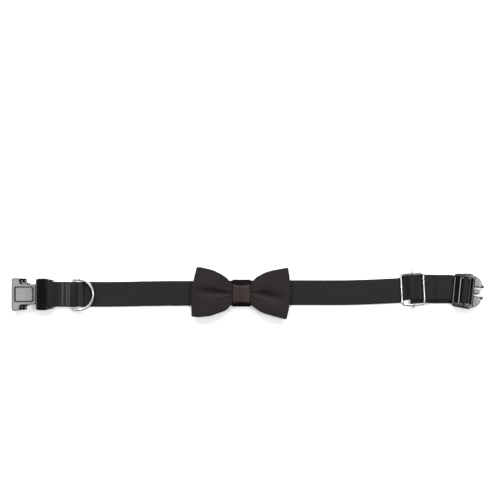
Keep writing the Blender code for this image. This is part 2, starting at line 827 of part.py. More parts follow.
def make_keeper(material):
    height = webbing_thickness + 2 * (keeper_play + keeper_wall)
    half_across = webbing_width / 2 + keeper_play + keeper_wall
    mesh = sweep(band_rings(keeper_band, half_across, height, keeper_wall, keeper_wall, steps=1), closed=True)
    keeper = add_object("bow_keeper", mesh, material)
    side, _ = strap_side(knot_x)
    keeper.location = (knot_x, side, height / 2)
    return keeper


def main():
    clear_scene()
    webbing = make_material("black webbing", (0.028, 0.027, 0.027), 0.85)
    plastic = make_material("black plastic", (0.012, 0.012, 0.013), 0.22)
    nickel = make_material("nickel wire", (0.72, 0.71, 0.69), 0.16, 1.0)
    cloth = make_material("charcoal cloth", (0.032, 0.028, 0.028), 0.9)
    band = make_material("brown black cloth", (0.050, 0.036, 0.035), 0.88)
    elastic = make_material("black elastic", (0.040, 0.028, 0.028), 0.9)
    make_strap(webbing)
    side, _ = strap_side(female_bar_x)
    make_female(plastic, add_pivot("female place", female_bar_x, side, female_bar_z, female_turn))
    side, _ = strap_side(ring_x)
    make_ring(nickel, add_pivot("ring place", ring_x, side, ring_z, ring_turn, ring_tilt))
    make_slider(nickel, nickel)
    side, _ = strap_side(ladder_x)
    make_male(plastic, add_pivot("male place", ladder_x, side, 0.0, male_turn))
    make_bow(cloth)
    make_knot(band)
    make_keeper(elastic)


main()
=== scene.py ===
"""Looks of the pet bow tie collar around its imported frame: cloth, thread, plastic, wire and light."""

from functools import partial
from math import atan, cos, exp, pi, radians, sin, sqrt, tan

import bmesh
import bpy
from mathutils import Matrix, Vector, noise


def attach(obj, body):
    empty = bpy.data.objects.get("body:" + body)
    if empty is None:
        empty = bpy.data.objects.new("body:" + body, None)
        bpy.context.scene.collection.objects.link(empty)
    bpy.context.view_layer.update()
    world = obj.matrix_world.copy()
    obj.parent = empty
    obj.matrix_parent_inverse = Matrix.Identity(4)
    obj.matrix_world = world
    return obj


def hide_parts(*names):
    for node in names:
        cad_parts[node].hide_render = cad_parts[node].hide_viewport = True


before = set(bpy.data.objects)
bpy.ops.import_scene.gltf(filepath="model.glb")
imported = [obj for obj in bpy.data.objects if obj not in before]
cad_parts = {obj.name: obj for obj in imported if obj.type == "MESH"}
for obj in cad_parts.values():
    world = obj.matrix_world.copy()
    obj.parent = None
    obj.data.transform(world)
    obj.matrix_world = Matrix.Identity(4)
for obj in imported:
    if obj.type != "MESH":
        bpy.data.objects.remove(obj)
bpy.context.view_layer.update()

mm = 0.001

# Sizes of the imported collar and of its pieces
clearance = 0.3 * mm
webbing_width = 25.0 * mm
webbing_thickness = 1.5 * mm
mouth_to_bar = 37.2 * mm
bar_to_ring = 23.4 * mm
ring_to_knot = 168.0 * mm
knot_to_slider = 171.0 * mm
slider_to_ladder = 53.0 * mm
ladder_to_tips = 18.0 * mm
ring_fold_end = 9.8 * mm
slider_fold_end = 18.0 * mm
step_down = 5.0 * mm

female_height = 10.0 * mm
female_half_width = 16.4 * mm
female_waist = 13.3 * mm
female_waist_start = 17.0 * mm
female_body_length = 23.3 * mm
female_overhang = 4.2 * mm
female_wall = 2.2 * mm
female_bar_radius = 1.8 * mm
female_turn = radians(0.0)
window_start = 7.6 * mm
window_length = 10.4 * mm
window_depth = 6.2 * mm
rail_width = 3.0 * mm
panel_start = 3.0 * mm
panel_length = 18.6 * mm
panel_width = 15.0 * mm

ring_wire = 3.0 * mm
ring_play = 1.2 * mm
ring_leg = 4.6 * mm
ring_corner = 1.7 * mm
ring_turn = radians(-1.0)
ring_tilt = radians(2.5)

slider_wire = 2.4 * mm
slider_length = 22.0 * mm
slider_play = 2.0 * mm
slider_bar_wire = 2.0 * mm
slider_corner = 4.0 * mm
slider_turn = radians(3.0)
slider_shift = 0.9 * mm

male_height = 7.4 * mm
male_rail_width = 4.6 * mm
male_taper = 1.6 * mm
male_front_reach = 10.9 * mm
male_front_bar = 8.0 * mm
male_front_bar_thickness = 3.0 * mm
male_frame_length = 19.8 * mm
male_side_play = 0.8 * mm
male_turn = radians(-5.5)
ladder_bar_width = 4.5 * mm
ladder_bar_thickness = 3.0 * mm
prong_base_half_width = 15.6 * mm
prong_inner_half_width = 4.5 * mm
prong_thickness = 5.2 * mm
prong_length = 11.0 * mm
pin_half_width = 2.3 * mm
pin_length = 6.6 * mm

bow_wall = 1.2 * mm
bow_half_height = 26.0 * mm
bow_rise = 3.3 * mm
bow_end_thickness = 4.6 * mm
bow_seat = 0.6 * mm
left_reach = 49.6 * mm
right_reach = 48.5 * mm
knot_band = 17.0 * mm
knot_wall = 1.4 * mm
knot_half_width = 8.2 * mm
knot_flare = 1.5 * mm
knot_shift = -0.8 * mm
waist_gap = 0.5 * mm
waist_tuck = 0.9 * mm
keeper_band = 18.0 * mm
keeper_wall = 0.8 * mm
keeper_play = 0.25 * mm
keeper_ramp = 14.0 * mm
keeper_bend = 30.0 * mm

strap_side_at_female = -1.2 * mm
strap_side_at_ring = -1.4 * mm
strap_side_at_knot = -0.5 * mm
strap_side_past_knot = 0.25 * mm
strap_side_at_slider = 3.0 * mm
strap_side_at_ladder = 2.1 * mm
slider_lift = 2.8 * mm
slider_lift_run = 8.0 * mm
return_drop = 1.0 * mm
front_bar_run = 4.0 * mm

# Stitches: share of the webbing's width that they take up, and share of its thickness between its selvedges
sewn_share = 0.9
web_relief = 0.93
tack_pitch = 0.62 * mm
row_stitches = 9
thread_radius = 0.24 * mm

half_web = webbing_thickness / 2
layer = webbing_thickness + clearance
collar_length = (
    mouth_to_bar + bar_to_ring + ring_to_knot + knot_to_slider + slider_to_ladder + ladder_to_tips
)
mouth_x = -collar_length / 2
female_bar_x = mouth_x + mouth_to_bar
ring_x = female_bar_x + bar_to_ring
knot_x = ring_x + ring_to_knot
slider_x = knot_x + knot_to_slider
ladder_x = slider_x + slider_to_ladder
ring_z = layer + ring_wire / 2
slider_bar_z = layer + slider_bar_wire / 2
ladder_z = layer + ladder_bar_thickness / 2
female_bar_z = female_height / 2
keeper_level = keeper_wall + keeper_play + half_web
ring_half_width = webbing_width / 2 + ring_play + ring_wire / 2
slider_width = webbing_width + 2 * slider_play + slider_wire
male_inner_half_width = webbing_width / 2 + male_side_play
male_half_width = male_inner_half_width + male_rail_width


def level(count):
    """Height of the middle of a strap layer with this many layers under it."""
    return half_web + count * layer


def smooth(share):
    share = min(1.0, max(0.0, share))
    return share * share * (3 - 2 * share)


def cubic(start, end, slope0, slope1, t):
    """Value at share t of a smooth curve with these ends and these slopes over its whole run."""
    rise = end - start
    return start + slope0 * t + (3 * rise - 2 * slope0 - slope1) * t**2 + (slope0 + slope1 - 2 * rise) * t**3


# Mesh helpers

def add_object(name, data):
    obj = bpy.data.objects.new(name, data)
    bpy.context.scene.collection.objects.link(obj)
    return obj


def built(name, bm, material=None):
    """Object made of what has been built so far."""
    mesh = bpy.data.meshes.new(name)
    bm.to_mesh(mesh)
    bm.free()
    if material is not None:
        mesh.materials.append(material)
    return add_object(name, mesh)


def skin(bm, uv, rings, along, around, closed=False, cap_share=1.0):
    """Smooth faces through rings of points. along and around give their places in the cloth, in metres."""
    rows = [[bm.verts.new(point) for point in ring] for ring in rings]
    count = len(rings[0])
    for i in range(len(rings) if closed else len(rings) - 1):
        first = rows[i]
        second = rows[(i + 1) % len(rings)]
        for j in range(count):
            k = (j + 1) % count
            face = bm.faces.new((first[j], first[k], second[k], second[j]))
            face.smooth = True
            places = ((i, j), (i, j + 1), (i + 1, j + 1), (i + 1, j))
            for loop, (a, b) in zip(face.loops, places):
                loop[uv].uv = (along[a], around[b])
    if not closed:
        for row in (rows[0][::-1], rows[-1]):
            for loop in bm.faces.new(row).loops:
                loop[uv].uv = loop.vert.co.xy * cap_share


def loft(name, rings, along, around, material=None, closed=False):
    """Object with one skin through rings of points."""
    bm = bmesh.new()
    skin(bm, bm.loops.layers.uv.new("cloth"), rings, along, around, closed)
    bmesh.ops.recalc_face_normals(bm, faces=bm.faces)
    return built(name, bm, material)


def running_length(points, closed=False):
    """Distance along a list of points, with one more value than points if it is closed."""
    lengths = [0.0]
    ends = list(points[1:]) + ([points[0]] if closed else [])
    for a, b in zip(points, ends):
        lengths.append(lengths[-1] + (Vector(b) - Vector(a)).length)
    return lengths


def prism(name, outline, low, high, edge=0.0):
    """Flat outline raised from low to high, with its top and bottom edges rounded off."""
    bm = bmesh.new()
    face = bm.faces.new([bm.verts.new((x, y, low)) for x, y in outline])
    grown = bmesh.ops.extrude_face_region(bm, geom=[face])["geom"]
    top = [item for item in grown if isinstance(item, bmesh.types.BMVert)]
    bmesh.ops.translate(bm, verts=top, vec=(0, 0, high - low))
    bmesh.ops.recalc_face_normals(bm, faces=bm.faces)
    if edge:
        rims = [e for e in bm.edges if abs(e.verts[0].co.z - e.verts[1].co.z) < 1e-9]
        bmesh.ops.bevel(bm, geom=rims, offset=edge, segments=3, profile=0.5, affect="EDGES")
    return built(name, bm)


def cross_prism(name, section, half_width):
    """Section in side view, given as (x, z), carried across the collar."""
    rings = [[(x, y, z) for x, z in section] for y in (-half_width, half_width)]
    return loft(name, rings, [0, 1], [0] * (len(section) + 1))


def box(x0, x1, y0, y1):
    return [(x0, y0), (x1, y0), (x1, y1), (x0, y1)]


def corner_arc(before, corner, after, radius, arc_step):
    """Points of the arc that rounds off a corner, or the corner itself."""
    into = (corner - before).normalized()
    out = (after - corner).normalized()
    turn = into.angle_signed(out, 0.0)
    if radius <= 0 or abs(turn) < 1e-4:
        return [tuple(corner)]
    reach = radius * tan(abs(turn) / 2)
    start = corner - into * reach
    side = 1 if turn > 0 else -1
    centre = start + Vector((into.y, -into.x)) * radius * side
    steps = max(2, round(abs(turn) / arc_step))
    rotations = [Matrix.Rotation(-turn * i / steps, 2) for i in range(steps + 1)]
    return [tuple(centre + rotation @ (start - centre)) for rotation in rotations]


def rounded_outline(corners, arc_step=radians(9)):
    """Outline whose corners, given as (x, y, radius), are arcs."""
    points = []
    for i, (x, y, radius) in enumerate(corners):
        before = Vector(corners[i - 1][:2])
        after = Vector(corners[(i + 1) % len(corners)][:2])
        points += corner_arc(before, Vector((x, y)), after, radius, arc_step)
    return points


def mirrored(half, arc_step=radians(9)):
    """Rounded outline that is the same on both sides of X, from the corners of its +Y half."""
    return rounded_outline([(x, -y, r) for x, y, r in half] + half[::-1], arc_step)


def rounded_box(x0, x1, half_width, radius, arc_step=radians(9)):
    return mirrored([(x0, half_width, radius), (x1, half_width, radius)], arc_step)


def refined(outline, longest):
    """The same closed outline with extra points along its longer sides."""
    points = []
    for i, (x, y) in enumerate(outline):
        run = Vector(outline[(i + 1) % len(outline)]) - Vector((x, y))
        pieces = int(run.length / longest) + 1
        points += [(x + run.x * k / pieces, y + run.y * k / pieces) for k in range(pieces)]
    return points


def rounded_route(corners, longest):
    """Open route of straight runs and arcs, with extra points so that no run is longer than given."""
    points = [tuple(corners[0][:2])]
    for i in range(1, len(corners) - 1):
        before = Vector(corners[i - 1][:2])
        after = Vector(corners[i + 1][:2])
        x, z, radius = corners[i]
        points += corner_arc(before, Vector((x, z)), after, radius, radians(8))
    points.append(tuple(corners[-1][:2]))
    route = [points[0]]
    for end in points[1:]:
        start = Vector(route[-1])
        run = Vector(end) - start
        pieces = max(1, int(run.length / longest) + 1)
        route += [tuple(start + run * k / pieces) for k in range(1, pieces + 1)]
    return route


def tangent_corner(x, z, radius, first, second):
    """Where two lines meet that touch a circle at these two normal angles, in degrees."""
    middle = radians(first + second) / 2
    reach = radius / cos(radians(second - first) / 2)
    return (x + reach * cos(middle), z + reach * sin(middle), radius)


def line_at_height(corner, normal, height, radius):
    """Corner where the line through a corner, with this normal angle, comes to a height."""
    x, z, _ = corner
    a = radians(normal)
    return (x + (z - height) * sin(a) / cos(a), height, radius)


def ball(name, centre, radii):
    """Rounded helper solid with its own reach along X, Y and Z."""
    bm = bmesh.new()
    bmesh.ops.create_uvsphere(bm, u_segments=32, v_segments=20, radius=1.0)
    bmesh.ops.scale(bm, verts=bm.verts, vec=radii)
    bmesh.ops.translate(bm, verts=bm.verts, vec=centre)
    return built(name, bm)


def circle(centre, right, up, radius, sides):
    angles = [2 * pi * k / sides for k in range(sides)]
    return [centre + right * radius * cos(a) + up * radius * sin(a) for a in angles]


def wire(name, points, radius, sides, closed=False, material=None, round_ends=False):
    """A round wire along a route of points."""
    points = [Vector(p) for p in points]
    last = len(points) - 1
    rings = []
    for i, point in enumerate(points):
        before = points[i - 1] if closed or i > 0 else point
        after = points[(i + 1) % len(points)] if closed or i < last else point
        way = (after - before).normalized()
        up = Vector((0, 0, 1)) if abs(way.z) < 0.9 else Vector((1, 0, 0))
        right = way.cross(up).normalized()
        rings.append(circle(point, right, right.cross(way), radius, sides))
    along = running_length(points, closed)
    if round_ends:
        steps = 5
        domes = []
        for tip, beside, ring in ((points[0], points[1], rings[0]), (points[-1], points[-2], rings[-1])):
            way = (tip - beside).normalized()
            angles = [pi / 2 * k / steps for k in range(1, steps)]
            domes.append([[tip + (p - tip) * cos(a) + way * radius * sin(a) for p in ring] for a in angles])
        rings = domes[0][::-1] + rings + domes[1]
        along = [0.0] * (steps - 1) + along + [along[-1]] * (steps - 1)
    around = [2 * pi * radius * k / sides for k in range(sides + 1)]
    return loft(name, rings, along, around, material, closed)


def placed(x, y, z, turn, tilt=0.0):
    """Matrix of a piece's own place: X along the collar, Y along the bar that it turns on."""
    return Matrix.Translation((x, y, z)) @ Matrix.Rotation(turn, 4, "Z") @ Matrix.Rotation(-tilt, 4, "Y")


def boolean(obj, others, operation):
    for other in others:
        modifier = obj.modifiers.new(other.name, "BOOLEAN")
        modifier.operation = operation
        modifier.object = other
        modifier.solver = "EXACT"


def baked(obj, *used):
    """Replaces an object's mesh by what its modifiers make of it, and removes the helpers that they used."""
    bpy.context.view_layer.update()
    graph = bpy.context.evaluated_depsgraph_get()
    mesh = bpy.data.meshes.new_from_object(obj.evaluated_get(graph))
    old = obj.data
    obj.modifiers.clear()
    obj.data = mesh
    bpy.data.meshes.remove(old)
    for other in used:
        data = other.data
        bpy.data.objects.remove(other, do_unlink=True)
        bpy.data.meshes.remove(data)
    return obj


def mould(obj, matrix, material, voxel, rounding, triangles):
    """Makes one moulded skin of a solid: its edges rounded off all over, then put in its place."""
    remesh = obj.modifiers.new("skin", "REMESH")
    remesh.mode = "VOXEL"
    remesh.voxel_size = voxel
    soften = obj.modifiers.new("rounding", "SMOOTH")
    soften.factor = 0.5
    soften.iterations = rounding
    baked(obj)
    obj.data.calc_loop_triangles()
    found = len(obj.data.loop_triangles)
    if found > triangles:
        thin = obj.modifiers.new("thin", "DECIMATE")
        thin.ratio = triangles / found
        baked(obj)
    obj.data.transform(matrix)
    obj.data.materials.clear()
    obj.data.materials.append(material)
    obj.data.shade_smooth()
    return obj


# Materials

class Surface:
    """A material being made. Its calls add nodes and give back their outputs."""

    def __init__(self, name, colour, roughness, metallic=0.0):
        self.material = bpy.data.materials.new(name)
        self.material.use_nodes = True
        self.nodes = self.material.node_tree.nodes
        self.links = self.material.node_tree.links
        self.inputs = self.nodes["Principled BSDF"].inputs
        self.inputs["Base Color"].default_value = (*colour, 1.0)
        self.inputs["Roughness"].default_value = roughness
        self.inputs["Metallic"].default_value = metallic

    def node(self, kind, output, inputs, **settings):
        """A node with these settings and inputs, each input a value or another node's output."""
        node = self.nodes.new(kind)
        for name, value in settings.items():
            setattr(node, name, value)
        for name, value in inputs.items():
            if isinstance(value, bpy.types.NodeSocket):
                self.links.new(value, node.inputs[name])
            else:
                node.inputs[name].default_value = value
        return node.outputs[output]

    def link(self, name, output):
        self.links.new(output, self.inputs[name])

    def place(self):
        """Place on the object, in metres."""
        return self.node("ShaderNodeTexCoord", "Object", {})

    def cloth_place(self):
        """Place in the cloth, in metres, and its two parts: along the piece and across it."""
        place = self.node("ShaderNodeUVMap", "UV", {}, uv_map="cloth")
        along = self.node("ShaderNodeSeparateXYZ", "X", {"Vector": place})
        across = self.node("ShaderNodeSeparateXYZ", "Y", {"Vector": place})
        return place, along, across

    def math(self, operation, *values):
        return self.node("ShaderNodeMath", 0, dict(enumerate(values)), operation=operation)

    def noise(self, place, scale, detail):
        return self.node("ShaderNodeTexNoise", "Fac", {"Vector": place, "Scale": scale, "Detail": detail})

    def shades(self, factor, colour, stops):
        """Base colour along a ramp. Columns of stops: place on the ramp, share of the colour there."""
        ramp = self.nodes.new("ShaderNodeValToRGB")
        self.links.new(factor, ramp.inputs["Fac"])
        elements = ramp.color_ramp.elements
        while len(elements) < len(stops):
            elements.new(0.5)
        for element, (position, share) in zip(elements, stops):
            element.position = position
            element.color = (*(c * share for c in colour), 1.0)
        self.link("Base Color", ramp.outputs["Color"])

    def bump(self, height, strength, distance, **normal):
        inputs = {"Strength": strength, "Distance": distance, "Height": height, **normal}
        return self.node("ShaderNodeBump", "Normal", inputs)


# Woven cloths. Columns: name, colour, roughness, thread pitch across and along the piece in mm, depth of the
# relief in mm, sheen, shine, strength of the lengthwise streaks, strength of the broad patches
CLOTHS = [
    ("webbing_weave", (0.0108, 0.0104, 0.0105), 0.6, 1.45, 2.6, 0.4, 0.02, 0.10, 0.35, 0.5),
    ("bow_weave", (0.0200, 0.0178, 0.0170), 0.85, 0.62, 0.62, 0.16, 0.04, 0.05, 0.4, 0.12),
    ("knot_weave", (0.038, 0.0270, 0.0262), 0.85, 0.62, 0.62, 0.16, 0.04, 0.05, 1.0, 0.12),
    # The elastic's colour is its own reddish black, made darker still as painted shade where it shows above
    # and below the knot, between the lobes.
    ("elastic_weave_painted_shade", (0.0085, 0.0055, 0.006), 0.8, 0.9, 1.2, 0.3, 0.02, 0.05, 0.5, 0.12),
]


def woven_material(name, colour, roughness, warp, weft, depth, sheen, shine, streak, slub):
    """Cloth woven from threads that cross over and under each other, with painted shade in the grooves of its
    weave.
    """
    cloth = Surface(name, colour, roughness)
    math = cloth.math
    place, along, across = cloth.cloth_place()
    wander = math("MULTIPLY_ADD", cloth.noise(place, 260.0, 2.0), 0.22, -0.11)
    column = math("ADD", math("DIVIDE", across, warp * mm), wander)
    row = math("ADD", math("DIVIDE", along, weft * mm), wander)
    odd = math("ABSOLUTE", math("MODULO", math("FLOOR", column), 2.0))
    shifted = math("MULTIPLY_ADD", odd, 0.5, row)
    thread = math("POWER", math("ABSOLUTE", math("SINE", math("MULTIPLY", column, pi))), 0.6)
    over = math("MULTIPLY_ADD", math("COSINE", math("MULTIPLY", shifted, 2 * pi)), 0.5, 0.5)
    height = math("MULTIPLY", thread, math("MULTIPLY_ADD", over, 0.6, 0.4))
    fuzz = cloth.noise(place, 2600.0, 2.0)
    height = math("MULTIPLY_ADD", fuzz, 0.35, height)
    patches = cloth.noise(place, 14.0, 3.0)
    # The base colour follows the weave's relief: painted shade, darker in the grooves where threads dip under
    # and between them, lighter on their crowns. The broad patches and the lengthwise streaks are random.
    tone_and_groove_shade = math("MULTIPLY_ADD", patches, slub, math("MULTIPLY", height, 0.5))
    stretched = cloth.node("ShaderNodeCombineXYZ", 0, {"X": math("MULTIPLY", along, 0.06), "Y": across})
    streaks = cloth.noise(stretched, 420.0, 2.0)
    tone_and_groove_shade = math("ADD", tone_and_groove_shade, math("MULTIPLY_ADD", streaks, streak, -0.5 * streak))
    cloth.shades(tone_and_groove_shade, colour, [(0.0, 0.45), (0.4, 0.95), (0.85, 1.35)])
    cloth.link("Roughness", math("MULTIPLY_ADD", fuzz, 0.2, roughness - 0.1))
    cloth.link("Normal", cloth.bump(height, 0.7, depth * mm))
    cloth.inputs["Sheen Weight"].default_value = sheen
    cloth.inputs["Sheen Roughness"].default_value = 0.45
    cloth.inputs["Sheen Tint"].default_value = (0.75, 0.72, 0.72, 1.0)
    cloth.inputs["Specular IOR Level"].default_value = shine
    return cloth.material


def plastic_material():
    colour = (0.004, 0.004, 0.0045)
    plastic = Surface("black_plastic", colour, 0.12)
    place = plastic.place()
    clouds = plastic.noise(place, 120.0, 4.0)
    grain = plastic.noise(place, 2200.0, 2.0)
    plastic.shades(clouds, colour, [(0.3, 0.8), (0.55, 1.0), (0.8, 1.5)])
    plastic.link("Roughness", plastic.math("MULTIPLY_ADD", clouds, 0.08, 0.04))
    fine = plastic.bump(grain, 0.10, 0.03 * mm)
    plastic.link("Normal", plastic.bump(clouds, 0.05, 0.1 * mm, Normal=fine))
    plastic.inputs["Specular IOR Level"].default_value = 0.5
    return plastic.material


def nickel_material():
    colour = (0.40, 0.377, 0.372)
    nickel = Surface("nickel_wire", colour, 0.14, 1.0)
    place = nickel.place()
    clouds = nickel.noise(place, 180.0, 4.0)
    specks = nickel.noise(place, 1500.0, 3.0)
    nickel.shades(clouds, colour, [(0.25, 0.8), (0.5, 1.0), (0.8, 1.15)])
    nickel.link("Roughness", nickel.math("MULTIPLY_ADD", specks, 0.14, 0.19))
    nickel.link("Normal", nickel.bump(specks, 0.08, 0.05 * mm))
    return nickel.material


def thread_material(name, colour):
    """Sewing thread: two plies twisted round each other."""
    thread = Surface(name, colour, 0.55)
    math = thread.math
    _, along, across = thread.cloth_place()
    twist = math("ADD", math("MULTIPLY", along, 9000.0), math("MULTIPLY", across, 6000.0))
    height = math("ABSOLUTE", math("SINE", twist))
    # The base colour follows the twist's relief: painted shade, darker in the grooves between the plies and
    # lighter on their crowns.
    thread.shades(height, colour, [(0.0, 0.5), (0.6, 1.0), (1.0, 1.3)])
    thread.link("Normal", thread.bump(height, 0.5, 0.1 * mm))
    thread.inputs["Sheen Weight"].default_value = 0.2
    return thread.material


# Strap

def strap_stations():
    """Rows of place along the collar, sideways place and heading there."""
    near_ring = 30 * mm
    straight = 70 * mm
    return [
        (mouth_x, strap_side_at_female + mouth_to_bar * tan(-female_turn), female_turn),
        (female_bar_x, strap_side_at_female, female_turn),
        (ring_x, strap_side_at_ring, 0.0),
        (ring_x + near_ring, strap_side_at_ring, 0.0),
        (knot_x - straight, strap_side_at_knot, 0.0),
        (knot_x + straight, strap_side_past_knot, 0.0),
        (slider_x - straight, strap_side_past_knot, radians(0.8)),
        (slider_x, strap_side_at_slider, slider_turn),
        ((slider_x + ladder_x) / 2, strap_side_at_slider, radians(-0.5)),
        (ladder_x, strap_side_at_ladder, male_turn),
        (ladder_x + ladder_to_tips, strap_side_at_ladder + ladder_to_tips * tan(male_turn), male_turn),
    ]


def strap_side(x, returning=False):
    """Sideways place and heading of the strap's middle line at a place along the collar."""
    stations = strap_stations()
    x = min(max(x, stations[0][0]), stations[-1][0])
    i = max(k for k in range(len(stations) - 1) if stations[k][0] <= x)
    x0, y0, a0 = stations[i]
    x1, y1, a1 = stations[i + 1]
    run = x1 - x0
    t = (x - x0) / run
    m0 = tan(a0) * run
    m1 = tan(a1) * run
    y = cubic(y0, y1, m0, m1, t)
    slope = (m0 + 2 * (3 * (y1 - y0) - 2 * m0 - m1) * t + 3 * (2 * (y0 - y1) + m0 + m1) * t**2) / run
    # The two layers lie side by side a little, and the male half's channel brings them together.
    male_front = ladder_x - ladder_bar_width / 2 - male_front_reach
    joined = smooth((x - male_front) / front_bar_run + 0.1)
    if returning:
        y -= return_drop * (1 - joined)
    else:
        y += slider_lift * (smooth((x - slider_x) / slider_lift_run + 1.75) - joined)
    return y, atan(slope)


def strap_corners():
    """Route of the webbing's middle in side view, from the fold by the D-ring to the one by the slider."""
    hump = ring_wire / 2 + clearance + half_web
    steep = 48
    gentle = 24
    hump_top = tangent_corner(ring_x, ring_z, hump, 90 - steep, 90 + gentle)
    hump_right = line_at_height(hump_top, 90 - steep, level(1), webbing_thickness)
    hump_left = line_at_height(hump_top, 90 + gentle, level(1), 4 * mm)
    loop = female_bar_radius + clearance + half_web
    loop_top = tangent_corner(female_bar_x, female_bar_z, loop, 55, 180)
    loop_bottom = tangent_corner(female_bar_x, female_bar_z, loop, 180, 258)
    loop_foot = line_at_height(loop_top, 55, level(1), 5 * mm)
    loop_landing = line_at_height(loop_bottom, 258, level(0), 8 * mm)
    keeper_end = keeper_band / 2 + 1 * mm
    inner = slider_bar_wire / 2 + clearance + half_web
    outer = inner + layer
    over_top = tangent_corner(slider_x, slider_bar_z, outer, 140, 60)
    over_foot = line_at_height(over_top, 140, level(0), 2.5 * mm)
    over_end = line_at_height(over_top, 60, level(2), 4 * mm)
    three_layers_end = slider_x + slider_fold_end + 1.5 * mm
    round_bar = ladder_bar_thickness / 2 + clearance + half_web
    bar_end = ladder_bar_width / 2 - ladder_bar_thickness / 2
    climb = tangent_corner(ladder_x - bar_end, ladder_z, round_bar, 150, 90)
    climb_foot = line_at_height(climb, 150, level(1), 1.5 * mm)
    turn_top = (ladder_x + bar_end + round_bar, ladder_z + round_bar, round_bar)
    turn_bottom = (ladder_x + bar_end + round_bar, level(0), round_bar)
    end_low = tangent_corner(slider_x, slider_bar_z, inner, 270, 180)
    end_high = tangent_corner(slider_x, slider_bar_z, inner, 180, 50)
    end_foot = line_at_height(end_high, 50, level(1), 3 * mm)
    outward = [
        (ring_x + ring_fold_end, level(1), 0),
        hump_right,
        hump_top,
        hump_left,
        loop_foot,
        loop_top,
        loop_bottom,
        loop_landing,
        (knot_x - keeper_end - keeper_ramp, level(0), keeper_bend),
        (knot_x - keeper_end, keeper_level, keeper_bend),
        (knot_x + keeper_end, keeper_level, keeper_bend),
        (knot_x + keeper_end + keeper_ramp, level(0), keeper_bend),
        over_foot,
        over_top,
        over_end,
        (three_layers_end, level(2), 4 * mm),
        (three_layers_end + step_down, level(1), 4 * mm),
        climb_foot,
        climb,
        turn_top,
    ]
    back = [turn_bottom, end_low, end_high, end_foot, (slider_x + slider_fold_end, level(1), 0)]
    return outward, back


def strap_frames():
    """Middle, across and up of the webbing at each point of its route, and the length run."""
    outward, back = strap_corners()
    route = rounded_route(outward + back, 2.0 * mm)
    farthest = max(range(len(route)), key=lambda k: route[k][0])
    frames = []
    for i, (x, z) in enumerate(route):
        before = Vector(route[max(i - 1, 0)])
        after = Vector(route[min(i + 1, len(route) - 1)])
        along = (after - before).normalized()
        side, heading = strap_side(x, returning=i > farthest)
        across = Vector((-sin(heading), cos(heading), 0))
        up = Vector((-along.y * cos(heading), -along.y * sin(heading), along.x))
        frames.append((Vector((x, side, z)), across, up))
    return frames, running_length([f[0] for f in frames])


def webbing_section():
    """The webbing's section, with round selvedges, as (share of half width, share of half thickness)."""
    points = []
    across_steps = 14
    edge = 0.045
    for k in range(across_steps + 1):
        points.append((1 - edge - (2 - 2 * edge) * k / across_steps, 1.0))
    for k in range(1, 6):
        a = pi / 2 + pi * k / 6
        points.append((-1 + edge + edge * cos(a), sin(a)))
    for k in range(across_steps + 1):
        points.append((-1 + edge + (2 - 2 * edge) * k / across_steps, -1.0))
    for k in range(1, 6):
        a = -pi / 2 + pi * k / 6
        points.append((1 - edge + edge * cos(a), sin(a)))
    return points


def make_strap(material):
    frames, lengths = strap_frames()
    section = webbing_section()
    half_width = webbing_width / 2
    rings = []
    for (middle, across, up), run in zip(frames, lengths):
        waver = 0.10 * mm * noise.noise(Vector((run * 90, 0.0, 3.1)))
        ring = []
        for a, b in section:
            edge_waver = waver
            if abs(a) > 0.9:
                edge_waver += 0.06 * mm * noise.noise(Vector((run * 400, 7.7, a)))
            thick = half_web * (1.0 if abs(a) > 0.93 else web_relief)
            ring.append(middle + across * (half_width * a + edge_waver) + up * thick * b)
        rings.append(ring)
    around = [half_width * a * (1 if b >= 0 else -1) for a, b in section]
    around.append(around[0])
    return loft("strap_webbing", rings, lengths, around, material), frames, lengths


# Stitches

def stitch(bm, uv, start, end, up, radius):
    """One stitch of thread, lying in an arch from start to end."""
    way = end - start
    length = way.length
    way.normalize()
    side = way.cross(up).normalized()
    steps = sides = 6
    rings = []
    for i in range(steps + 1):
        arch = sin(pi * i / steps) ** 0.5
        middle = start + way * length * (i / steps) + up * radius * (0.55 * arch - 0.45)
        rings.append(circle(middle, side, up, radius * (0.55 + 0.45 * arch), sides))
    along = [length * a / steps for a in range(steps + 1)]
    around = [2 * pi * radius * b / sides for b in range(sides + 1)]
    skin(bm, uv, rings, along, around, cap_share=0.0)


def stitch_object(name, stitches, radius, material):
    """All the stitches of one piece, each given as start, end and up."""
    bm = bmesh.new()
    uv = bm.loops.layers.uv.new("cloth")
    for start, end, up in stitches:
        stitch(bm, uv, start, end, up, radius)
    bmesh.ops.recalc_face_normals(bm, faces=bm.faces)
    return built(name, bm, material)


def surface_at(frames, first, last, face, x, across_share):
    """Point on the webbing's upper (face 1) or lower (face -1) face at x, and the way out of it."""
    for a, b in zip(frames[first:last], frames[first + 1:last + 1]):
        low, high = sorted((a[0].x, b[0].x))
        if low <= x <= high and high > low:
            t = (x - a[0].x) / (b[0].x - a[0].x)
            middle = a[0].lerp(b[0], t)
            across = a[1].lerp(b[1], t).normalized()
            out = a[2].lerp(b[2], t).normalized()
            if out.z * face < 0:
                out.negate()
            return middle + across * across_share * webbing_width / 2 + out * half_web * web_relief, out
    return None


def sewn(place, ends):
    """Stitches between pairs of points, given as (x, share of the half width), where place finds both."""
    found = []
    for start, end in ends:
        a, b = place(*start), place(*end)
        if a and b:
            found.append((a[0], b[0], (a[1] + b[1]).normalized()))
    return found


def bar_tack(place, x, length):
    """Dense stitches side by side along the collar, in a band across the webbing."""
    count = round(sewn_share * webbing_width / tack_pitch)
    slant = 0.35 * tack_pitch / webbing_width
    middles = [-sewn_share + 2 * sewn_share * (k + 0.5) / count for k in range(count)]
    return sewn(place, [((x, share - slant), (x + length, share + slant)) for share in middles])


def stitch_row(place, x):
    """Spaced stitches in one straight row across the webbing."""
    pitch = 2 * sewn_share / row_stitches
    starts = [pitch * k - sewn_share for k in range(row_stitches)]
    return sewn(place, [((x, share + 0.1 * pitch), (x, share + 0.9 * pitch)) for share in starts])


